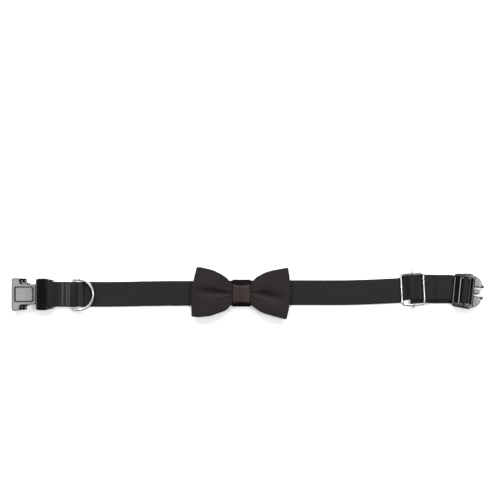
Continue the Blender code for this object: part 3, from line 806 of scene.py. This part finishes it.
def strap_stitches(frames):
    """Bands and rows that sew the two ends of the strap down, on both faces."""
    left_turn = min(range(len(frames)), key=lambda k: frames[k][0].x)
    right_turn = max(range(len(frames)), key=lambda k: frames[k][0].x)
    fold_top = partial(surface_at, frames, 0, left_turn, 1)
    run_bottom = partial(surface_at, frames, left_turn, right_turn, -1)
    # The last frames are those of the fold round the slider's bar.
    fold_frames = 40
    return_bottom = partial(surface_at, frames, right_turn, len(frames) - fold_frames, -1)
    rows = []
    for place, x, length in (
        (fold_top, female_bar_x + 11.2 * mm, 2.4 * mm),
        (run_bottom, female_bar_x + 11.2 * mm, 2.4 * mm),
        (fold_top, ring_x - 7.9 * mm, 2.5 * mm),
        (fold_top, ring_x - 5.2 * mm, 2.5 * mm),
    ):
        rows += bar_tack(place, x, length)
    for place, x in (
        (fold_top, ring_x + 5.6 * mm),
        (run_bottom, ring_x + 5.6 * mm),
        (fold_top, ring_x + 7.8 * mm),
        (run_bottom, ring_x + 7.8 * mm),
        (return_bottom, slider_x + 11.0 * mm),
        (return_bottom, slider_x + 15.0 * mm),
    ):
        rows += stitch_row(place, x)
    return rows


# Female buckle half

def female_solid():
    """The female half in its own place: X from its bar towards the strap, Z from its middle height."""
    half_height = female_height / 2
    mouth = -mouth_to_bar
    waist = mouth + female_waist_start
    start = mouth + female_body_length
    shoulder = female_half_width - 0.5 * mm
    body = prism("female_half_skin", mirrored([
        (mouth, female_half_width, 2.0 * mm),
        (mouth + window_start, shoulder, 0),
        (waist - 2.5 * mm, shoulder - 0.5 * mm, 1.2 * mm),
        (waist, female_waist, 1.2 * mm),
        (start + 1 * mm, female_waist, 0),
    ]), -half_height, half_height, 0.7 * mm)
    strap_room = webbing_width / 2 + clearance
    end_half_height = half_height - 1.0 * mm
    block = prism("female block", mirrored([
        (start, strap_room + rail_width, 3.2 * mm),
        (-female_overhang, strap_room + rail_width, 5 * mm),
        (female_overhang, strap_room + 0.4 * rail_width, 1.1 * mm),
    ]), -end_half_height, end_half_height, 0.9 * mm)
    fold_room = female_bar_radius + 2 * clearance + webbing_thickness
    slot_left = -0.62 * fold_room
    # The block's top slopes down towards the slot.
    slope = []
    for k in range(17):
        x = start - 1 * mm + (2 * female_overhang - start + 1 * mm) * k / 16
        slope.append((x, end_half_height - 1.3 * mm * smooth((x - start) / (slot_left - start))))
    slope += [(2 * female_overhang, female_height), (start - 1 * mm, female_height)]
    block_top = cross_prism("block top", slope, 2 * female_half_width)
    slot_plan = box(slot_left, 2 * female_overhang, -strap_room, strap_room)
    slot = prism("slot", slot_plan, -female_height, female_height)
    round_slot = wire("round slot", [(0, -strap_room, 0), (0, strap_room, 0)], fold_room, sides=48)
    bar_reach = strap_room + rail_width / 2
    bar = wire("bar", [(0, -bar_reach, 0), (0, bar_reach, 0)], female_bar_radius, sides=24)
    inner_height = half_height - female_wall
    cavity = prism("cavity", mirrored([
        (mouth - 1 * mm, female_half_width - female_wall, 0),
        (start - 3 * mm, female_waist - female_wall, 1.5 * mm),
    ]), -inner_height, inner_height, 0.5 * mm)
    cutters = [slot, round_slot, cavity]
    for side in (1, -1):
        for depth, lead, low, high in (
            (window_depth, 0.0, -inner_height, female_height),
            (0.8 * window_depth, 0.55 * window_length, -female_height, -inner_height + 0.2 * mm),
        ):
            outline = [(x, side * y) for x, y in window_outline(depth, lead)]
            cutters.append(prism("window", outline[::side], low, high))
        notch = box(waist - 0.6 * mm, start + 0.6 * mm,
                    side * (female_waist - 3.4 * mm), side * (female_half_width + 2 * mm))
        cutters.append(prism("notch", notch[::side], -female_height, female_height))
        # The floor under the window is hollowed like a thumbnail.
        hollow_x = mouth + window_start + 0.40 * window_length
        cutters.append(ball("hollow", (hollow_x, side * (female_half_width - 3.2 * mm), -0.6 * mm),
                            (5.6 * mm, 4.4 * mm, 3.5 * mm)))
    # A shallow groove outlines the panel: a recess less an island that is smaller all round.
    panels = []
    for grow, low, high in ((0.0, half_height - 0.45 * mm, female_height), (-0.6 * mm, 0.0, half_height)):
        x0 = mouth + panel_start - grow
        x1 = mouth + panel_start + panel_length + grow
        panels.append(prism("panel", rounded_box(x0, x1, panel_width / 2 + grow, 1.5 * mm), low, high))
    recess, island = panels
    boolean(block, [block_top], "DIFFERENCE")
    baked(block, block_top)
    boolean(body, [block], "UNION")
    boolean(body, cutters, "DIFFERENCE")
    boolean(recess, [island], "DIFFERENCE")
    baked(recess, island)
    boolean(body, [recess], "DIFFERENCE")
    boolean(body, [bar], "UNION")
    return baked(body, block, bar, recess, *cutters)


def window_outline(depth, lead):
    """Bite that a side window takes out of the body, in plan, on the +Y side."""
    start = -mouth_to_bar + window_start
    end = start + window_length
    start += lead
    length = end - start
    outside = female_half_width + 2 * mm
    inside = female_half_width - depth
    corner = min(0.4 * depth, 0.25 * length)
    return rounded_outline([
        (start, outside, 0), (start + 0.05 * length, inside, corner),
        (end - 0.24 * length, inside, corner), (end, inside + 0.5 * depth, 0.15 * depth),
        (end, outside, 0),
    ])


def make_female(material):
    matrix = placed(female_bar_x, strap_side(female_bar_x)[0], female_bar_z, female_turn)
    return mould(female_solid(), matrix, material, voxel=0.24 * mm, rounding=4, triangles=90000)


# Male buckle half

# Outer edge of a claw. Columns: place along the prong and sideways place as shares of the prong's length
# and of its base's half width, then the corner's radius as a share of the length
CLAW = [
    (0.0, 0.987, 0.0), (0.227, 0.974, 0.136), (0.5, 0.846, 0.182), (0.691, 0.68, 0.109),
    (0.764, 0.474, 0.055), (1.0, 0.43, 0.073),
]

# Top of the front bar. Columns: share of the way across it from the strap's side, fall below its ridge in mm
FRONT_BAR_TOP = [
    (0.0, 1.7), (0.06, 1.25), (0.12, 0.98), (0.2, 0.78), (0.3, 0.58), (0.4, 0.41), (0.5, 0.26), (0.6, 0.14),
    (0.7, 0.05), (0.78, 0.0), (0.86, 0.04), (0.93, 0.18), (1.0, 0.5),
]


def front_bar_cut(front, back, half_width, ridge):
    """Helper solid that is cut away over the front bar, which leaves its top rounded."""
    profile = [(front + (back - front) * share, ridge - fall * mm) for share, fall in FRONT_BAR_TOP]
    before = (front - 1 * mm, profile[0][1] - 0.5 * mm)
    after = (back + 0.4 * mm, profile[-1][1] - 0.3 * mm)
    above = [(back + 0.4 * mm, 2 * male_height), (front - 1 * mm, 2 * male_height)]
    return cross_prism("bar top", [before] + profile + [after] + above, half_width)


def male_solid():
    """The male half in its own place: X from its ladder bar towards the prong tips, Z from the floor."""
    front = -(ladder_bar_width / 2 + male_front_reach)
    frame_end = front + male_frame_length
    tips = ladder_to_tips
    prong_start = tips - prong_length
    inner = male_inner_half_width
    window_start_x = front + male_front_bar + 0.6 * mm
    body = prism("male_half_skin", mirrored([
        (front, male_half_width - male_taper, 3.4 * mm),
        (frame_end - 2.5 * mm, male_half_width, 1.8 * mm),
        (frame_end + 0.5 * mm, prong_base_half_width, 1 * mm),
        (prong_start + 1 * mm, prong_base_half_width, 0),
    ]), 0, male_height, 1.1 * mm)
    under_bar = 2 * layer
    # The channel under the front bar is flared at its mouth.
    flare = inner + slider_lift + 0.4 * mm
    channel = prism("channel", mirrored([
        (front - 1 * mm, flare, 0), (front + 0.5 * mm, flare, 0),
        (front + 1.2 * front_bar_run, inner, 0), (window_start_x, inner, 0),
    ]), -male_height, under_bar)
    window_front = window_start_x - 0.3 * mm
    bar_top = front_bar_cut(front, window_front, inner, under_bar + male_front_bar_thickness)
    window_plan = rounded_box(window_front, prong_start - 2.3 * mm, inner, 0.8 * mm)
    window = prism("ladder window", window_plan, -male_height, 2 * male_height)
    # A steep slope leads from the window's end up to the frame's end wall.
    slope_start = prong_start - 2.7 * mm
    slope_end = prong_start - 0.7 * mm
    slope = [
        (slope_start, 0.3 * mm), (slope_end, 4.2 * mm),
        (slope_end, 2 * male_height), (slope_start, 2 * male_height),
    ]
    ledge = cross_prism("ledge", slope, inner - 0.3 * mm)
    radius = ladder_bar_thickness / 2
    bar_end = ladder_bar_width / 2 - radius
    angles = [pi * k / 14 for k in range(15)]
    section = [(bar_end + radius * sin(a), radius * cos(a)) for a in angles]
    section += [(-x, -z) for x, z in section]
    added = [cross_prism("ladder bar", [(x, ladder_z + z) for x, z in section], inner + 1 * mm)]
    low = (male_height - prong_thickness) / 2
    for way in (1, -1):
        claw = [
            (prong_start + x * prong_length, y * prong_base_half_width, r * prong_length) for x, y, r in CLAW
        ]
        claw[-1] = (tips - 2.2 * mm, claw[-1][1], 0)
        claw.append((tips - 2.2 * mm, prong_inner_half_width, 0.07 * prong_length))
        claw.append((prong_start, prong_inner_half_width, 0))
        points = rounded_outline([(x, way * y, r) for x, y, r in claw])
        added.append(prism("claw", points[::-way], low, low + prong_thickness, 0.9 * mm))
        bead = (tips - 1.75 * mm, way * (prong_inner_half_width + 1.2 * mm), male_height / 2)
        added.append(ball("bead", bead, (1.75 * mm, 1.7 * mm, prong_thickness / 2)))
    added.append(prism("centre pin", mirrored([
        (prong_start, pin_half_width, 0), (prong_start + pin_length, pin_half_width, 1.2 * mm),
    ]), low, low + prong_thickness, 0.8 * mm))
    boolean(body, [channel, bar_top, window, ledge], "DIFFERENCE")
    boolean(body, added, "UNION")
    return baked(body, channel, bar_top, window, ledge, *added)


def make_male(material):
    matrix = placed(ladder_x, strap_side(ladder_x)[0], 0.0, male_turn)
    return mould(male_solid(), matrix, material, voxel=0.22 * mm, rounding=6, triangles=80000)


# D-ring and slider

def make_ring(material):
    reach = ring_half_width
    half = [(0, reach, ring_corner), (ring_leg, reach, 0), (ring_leg + reach, reach, reach)]
    matrix = placed(ring_x, strap_side(ring_x)[0], ring_z, ring_turn, ring_tilt)
    points = [matrix @ Vector((x, y, 0)) for x, y in refined(mirrored(half, radians(5)), 1.2 * mm)]
    return wire("d_ring_wire", points, ring_wire / 2, sides=24, closed=True, material=material)


def slider_places():
    """Matrix of the slider's frame and of its bar, with the heights that they need."""
    under_left = level(0) + half_web + clearance + slider_wire / 2
    under_right = level(2) + half_web + clearance + slider_wire / 2
    tilt = atan((under_right - under_left) / slider_length)
    middle_z = (under_left + under_right) / 2
    y = strap_side_at_slider + slider_shift
    frame_place = placed(slider_x, y, middle_z, slider_turn, tilt)
    bar_place = placed(slider_x, y, middle_z, slider_turn)
    return frame_place, bar_place, tilt, middle_z


def make_slider(material):
    frame_place, bar_place, tilt, middle_z = slider_places()
    half_length = slider_length / 2 / cos(tilt)
    side = slider_width / 2
    outline = refined(rounded_box(-half_length, half_length, side, slider_corner), 1.2 * mm)
    points = [frame_place @ Vector((x, y, 0)) for x, y in outline]
    outer = wire("slider_frame_wire", points, slider_wire / 2, sides=24, closed=True, material=material)
    drop = middle_z - slider_bar_z
    curl = (slider_wire + slider_bar_wire) / 2 + clearance
    angles = [radians(-90 + 190 * k / 18) for k in range(19)]
    hook = [(0, side + curl * cos(a), curl * sin(a)) for a in angles]
    straight = webbing_width / 2 + 0.2 * mm
    lower = [(0, -y, z) for _, y, z in reversed(hook)]
    middle = [(0, -straight + 2 * straight * k / 20, -drop) for k in range(21)]
    route = [bar_place @ Vector(p) for p in lower + middle + hook]
    bar = wire("slider_bar_wire", route, slider_bar_wire / 2, sides=20, round_ends=True, material=material)
    return outer, bar


# Bow

# Columns: share of the way from the knot band's edge to the lobe's end, then the height above and below
# the middle as shares of the bow's half height
LEFT_LOBE = [
    (0.036, 0.40, 0.42), (0.145, 0.57, 0.62), (0.267, 0.68, 0.72), (0.39, 0.77, 0.79), (0.537, 0.87, 0.87),
    (0.695, 0.93, 0.90), (0.854, 0.98, 0.92), (1.0, 1.00, 0.90),
]
RIGHT_LOBE = [
    (0.036, 0.43, 0.44), (0.145, 0.60, 0.57), (0.267, 0.69, 0.70), (0.39, 0.78, 0.78), (0.537, 0.85, 0.84),
    (0.695, 0.90, 0.90), (0.854, 0.94, 0.96), (1.0, 0.97, 1.00),
]

# Share of a lobe's full reach that its end has from its lower to its upper edge
LEFT_END = [(-1.0, 0.995), (-0.4, 1.0), (0.1, 0.995), (0.6, 0.94), (1.0, 0.89)]
RIGHT_END = [(-1.0, 0.915), (-0.6, 0.965), (0.0, 1.0), (0.5, 0.985), (1.0, 0.95)]


def table_at(table, share, column):
    """Value of a column on a smooth curve through the rows of a table, held at its ends."""
    if share <= table[0][0]:
        return table[0][column]
    for i in range(len(table) - 1):
        row, after = table[i], table[i + 1]
        if share <= after[0]:
            before = table[max(i - 1, 0)]
            beyond = table[min(i + 2, len(table) - 1)]
            run = after[0] - row[0]
            slope0 = (after[column] - before[column]) / (after[0] - before[0]) * run
            slope1 = (beyond[column] - row[column]) / (beyond[0] - row[0]) * run
            return cubic(row[column], after[column], slope0, slope1, (share - row[0]) / run)
    return table[-1][column]


def lobe_height(table, share, across, waist):
    """Sideways place on a lobe: across runs from -1 at the lower edge to 1 at the upper one."""
    column = 1 if across > 0 else 2
    first = table[0][0]
    full = table_at(table, share, column) * bow_half_height
    if share < first:
        full = waist + (full - waist) * smooth(share / first)
    return full * across


def bow_levels():
    """Heights of the middle of the bow's back and front layers at the knot, and of its back on the strap."""
    knot_floor = keeper_level + half_web + keeper_play + keeper_wall + clearance
    back = knot_floor + knot_wall + clearance + bow_wall / 2
    front = back + bow_wall + waist_gap
    rest = webbing_thickness + bow_seat + bow_wall / 2
    return knot_floor, back, front, rest


# Pleats that fan out from the knot. Columns: place across the lobe, width, depth in mm, reach along the lobe
LEFT_PLEATS = [
    (0.46, 0.09, -0.50, 0.55), (-0.34, 0.08, -0.55, 0.62), (0.74, 0.08, -0.30, 0.35),
    (-0.70, 0.09, -0.35, 0.45), (0.27, 0.07, 0.30, 0.42), (-0.14, 0.07, 0.26, 0.40),
]
RIGHT_PLEATS = [
    (0.38, 0.08, -0.50, 0.60), (-0.44, 0.09, -0.50, 0.52), (0.68, 0.09, -0.34, 0.42),
    (-0.76, 0.08, -0.28, 0.38), (0.16, 0.07, 0.26, 0.44), (-0.24, 0.07, 0.28, 0.42),
]


def wrinkle(side, share, across):
    """Small rise and fall of the front layer: pleats that fan out from the knot, and a slack swell."""
    fan = 0.0
    for place, width, depth, reach in LEFT_PLEATS if side < 0 else RIGHT_PLEATS:
        place += 0.04 * sin(9 * share + 3 * side + 5 * place)
        fade = smooth(max(0.0, 1 - share / reach))
        fan += depth * mm * fade * exp(-((across - place) / width) ** 2)
    slack = 0.5 * mm * noise.noise(Vector((share * 3.0 + side * 5, across * 1.6, 0.7))) * smooth(share / 0.4)
    return fan + slack


def bow_point(side, share, across, is_front):
    """Height of the front or back layer of one lobe, at a share of the way from the knot band's edge."""
    _, back, front, rest = bow_levels()
    behind = back + (rest - back) * smooth(share / 0.54)
    if not is_front:
        return behind
    end = rest + bow_end_thickness
    base = front + (end - front) * smooth(share)
    swell = sin(pi * min(1.0, max(0.0, share / 1.1))) ** 0.8 * bow_rise
    middle = 0.05 * share if side < 0 else 0.08 - 0.42 * share
    floor = behind + bow_wall + 0.3 * mm
    valley = exp(-((across - middle) / (0.10 + 0.10 * share)) ** 2)
    flank = 0.36 / (1 + ((across - middle) / 0.45) ** 2)
    depth = (1 - smooth(share / 1.15) ** 1.5) * (0.64 * valley + flank)
    edge_fall = 1 - 0.35 * across * across
    opened = smooth(share / 0.12) * min(1.0, 4 * (1.02 - share))
    seam = -0.22 * mm * exp(-((abs(across) - 0.925) / 0.016) ** 2) * smooth(share / 0.06)
    top = base + swell * edge_fall
    return top - max(0.0, top - floor) * depth + wrinkle(side, share, across) * opened + seam


def lobe_route(side, across):
    """Route (distance from the knot, height, share) round one lobe: out along the front, back underneath."""
    reach = left_reach if side < 0 else right_reach
    ends = LEFT_END if side < 0 else RIGHT_END
    reach *= table_at(ends, across, 1)
    inside = knot_band / 2 + clearance
    layers = []
    for is_front in (True, False):
        route = [(inside * k / 3, bow_point(side, 0.0, across, is_front), 0.0) for k in range(3)]
        for k in range(38):
            share = 0.915 * (k / 37) ** 1.2
            route.append((inside + (reach - inside) * share, bow_point(side, share, across, is_front), share))
        layers.append(route)
    front, back = layers[0], layers[1][::-1]
    start, top, _ = front[-1]
    bottom = back[0][1]
    fold = []
    for k in range(1, 12):
        a = radians(90 - 15 * k)
        height = (top + bottom) / 2 + (top - bottom) / 2 * sin(a)
        fold.append((start + (reach - start) * cos(a) ** 0.8, height, 1.0))
    return front + fold + back


def rounded_edge(place, start):
    """Share of a thickness near a folded edge: full up to start, then falling in a round to none at 1."""
    return sqrt(max(0.0, 1 - max(0.0, (abs(place) - start) / (1 - start)) ** 2))


def make_bow(material):
    across_steps = 72
    waist = knot_half_width - knot_wall - clearance - waist_tuck
    columns = []
    for k in range(across_steps + 1):
        t = -1 + 2 * k / across_steps
        across = 0.6 * t + 0.4 * sin(pi * t / 2)
        right = lobe_route(1, across)
        left = lobe_route(-1, across)
        loop = [(d, z, s, 1) for d, z, s in right[:-1]] + [(-d, z, s, -1) for d, z, s in reversed(left[1:])]
        columns.append((across, loop))
    count = len(columns[0][1])
    rings = []
    for i in range(count):
        outer, inner = [], []
        for across, loop in columns:
            d, z, share, side = loop[i]
            before = Vector(loop[i - 1][:2])
            after = Vector(loop[(i + 1) % count][:2])
            along = (after - before).normalized()
            normal = Vector((-along.y, along.x))
            table = RIGHT_LOBE if side > 0 else LEFT_LOBE
            y = lobe_height(table, share, across, waist)
            y += knot_shift * (1 - smooth(share / 0.3))
            fade = rounded_edge(across, 0.965) * 0.85 + 0.15
            for points, way in ((outer, 0.5), (inner, -0.5)):
                offset = normal * bow_wall * way * fade
                points.append(Vector((knot_x + d + offset.x, y, z + offset.y)))
        rings.append(outer + inner[::-1])
    along = running_length([ring[across_steps // 2] for ring in rings], True)
    places = [2 * bow_half_height * k / across_steps * 0.9 for k in range(across_steps + 1)]
    around = places + places[::-1] + [places[0]]
    return loft("bow_cloth", rings, along, around, material, True), along[-1]


def band(name, width, half_across, height, wall, corner, centre, material, steps, flare=0.0, ripple=0.0):
    """Flat loop of band round the collar, and its length."""
    outline = refined(rounded_box(-half_across, half_across, height / 2, corner, radians(10)), 0.8 * mm)
    rings = []
    for y, z in outline:
        outer, inner = [], []
        for k in range(steps + 1):
            u = -1 + 2 * k / steps
            grow = 1 + flare * u * u / half_across
            inset = wall * (rounded_edge(u, 0.93) * 0.7 + 0.3)
            shrink_y = (half_across - inset) / half_across
            shrink_z = (height / 2 - inset) / (height / 2)
            dent = 0.0
            if z > height * 0.3:
                dent = ripple * (0.5 + 0.5 * cos(3 * pi * u + 6 * y / half_across)) * (1 - abs(u) ** 4)
            outer.append(Vector((u * width / 2, y * grow, z - dent)) + centre)
            inner.append(Vector((u * width / 2, y * grow * shrink_y, z * shrink_z)) + centre)
        rings.append(outer + inner[::-1])
    along = running_length([(0, y, z) for y, z in outline], True)
    across = [width * k / steps for k in range(steps + 1)]
    around = across + across[::-1] + [across[0]]
    return loft(name, rings, along, around, material, True), along[-1]


def make_knot(material):
    floor, _, front, _ = bow_levels()
    top = front + bow_wall / 2 + clearance + knot_wall
    height = top - floor
    centre = Vector((knot_x, knot_shift, (floor + top) / 2))
    return band("bow_knot_cloth", knot_band, knot_half_width, height, knot_wall, height * 0.32, centre,
                material, steps=28, flare=knot_flare, ripple=0.12 * mm)


def make_keeper(material):
    height = webbing_thickness + 2 * (keeper_play + keeper_wall)
    half_across = webbing_width / 2 + keeper_play + keeper_wall
    centre = Vector((knot_x, strap_side(knot_x)[0], height / 2))
    return band("bow_keeper_elastic", keeper_band, half_across, height, keeper_wall, keeper_wall, centre,
                material, steps=12)


# Floor, light and camera

def make_floor():
    """White table top, faintly self lit near the collar and brighter far away, where the light boxes fade."""
    bm = bmesh.new()
    half_side = 14.0
    corners = box(-half_side, half_side, -half_side, half_side)
    bm.faces.new([bm.verts.new((x, y, -0.02 * mm)) for x, y in corners])
    white = Surface("floor_white", (0.86, 0.86, 0.87), 0.9)
    white.inputs["Specular IOR Level"].default_value = 0.1
    white.inputs["Emission Color"].default_value = (1.0, 1.0, 1.0, 1.0)
    distance = white.node("ShaderNodeVectorMath", "Value", {0: white.place()}, operation="LENGTH")
    white.link("Emission Strength", white.node("ShaderNodeMapRange", "Result", {
        "Value": distance, "From Min": 0.9, "From Max": 2.6, "To Min": 0.2, "To Max": 0.95,
    }))
    floor = built("floor", bm, white.material)


# Even rectangular lights. Columns: name, place, point that it faces, width, height, radiance.
# The tops of the buckle halves mirror the two small ones. The large ones stand past the collar's long edges.
SOFTBOXES = [
    ("left softbox", (-0.675, 0.0, 1.5), (-0.675, 0.0, 0.0), 0.45, 0.6, 9.8),
    ("right softbox", (0.7095, 0.0, 1.5), (0.7095, 0.0, 0.0), 0.45, 0.6, 15.0),
    ("key softbox", (0.0, 2.3, 1.5), (0.0, -0.1, 0.0), 4.0, 2.2, 6.6),
    ("fill softbox", (0.0, -2.2, 1.4), (0.0, 0.1, 0.0), 3.0, 1.6, 0.6),
]


def softbox(name, place, target, width, height, radiance):
    light = bpy.data.lights.new(name, "AREA")
    light.shape = "RECTANGLE"
    light.size = width
    light.size_y = height
    light.energy = radiance * width * height * pi
    obj = add_object(name, light)
    obj.location = place
    obj.rotation_euler = (Vector(target) - Vector(place)).to_track_quat("-Z", "Y").to_euler()


def make_light():
    world = bpy.data.worlds.new("studio")
    world.use_nodes = True
    background = world.node_tree.nodes["Background"]
    background.inputs["Color"].default_value = (1.0, 1.0, 1.0, 1.0)
    background.inputs["Strength"].default_value = 0.06
    scene = bpy.context.scene
    scene.world = world
    for row in SOFTBOXES:
        softbox(*row)
    scene.view_settings.view_transform = "Standard"
    scene.view_settings.look = "None"
    scene.view_settings.exposure = 0.0


def make_camera():
    """Camera straight above, whose view is half a metre wide at the middle of the collar's height."""
    height = 1.3
    seen_width = 0.5
    data = bpy.data.cameras.new("camera")
    data.sensor_width = 36.0
    data.lens = data.sensor_width * (height - 3 * mm) / seen_width
    data.clip_start = 0.05
    data.clip_end = 20.0
    camera = add_object("camera", data)
    camera.location = (1.8 * mm, 43 * mm, height)
    camera.rotation_euler = (0.0, 0.0, 0.0)
    bpy.context.scene.camera = camera


def main():
    make_camera()
    make_light()
    make_floor()
    webbing, cloth, knot_cloth, elastic = [woven_material(*row) for row in CLOTHS]
    plastic = plastic_material()
    nickel = nickel_material()
    thread = thread_material("black_thread", (0.034, 0.033, 0.035))

    strap, frames, lengths = make_strap(webbing)
    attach(strap, "collar")
    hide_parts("strap")
    stitches = stitch_object("strap_stitches", strap_stitches(frames), thread_radius, thread)
    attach(stitches, "collar")

    female = make_female(plastic)
    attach(female, "female_half")
    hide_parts("female_buckle")
    male = make_male(plastic)
    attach(male, "collar")
    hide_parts("male_buckle")
    ring = make_ring(nickel)
    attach(ring, "ring")
    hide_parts("d_ring")
    outer, bar = make_slider(nickel)
    for piece, node in ((outer, "slider_frame"), (bar, "slider_bar")):
        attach(piece, "collar")
        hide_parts(node)

    bow, bow_length = make_bow(cloth)
    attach(bow, "collar")
    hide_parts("bow")
    knot, knot_length = make_knot(knot_cloth)
    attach(knot, "collar")
    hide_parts("bow_knot")
    keeper, keeper_length = make_keeper(elastic)
    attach(keeper, "collar")
    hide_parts("bow_keeper")


main()
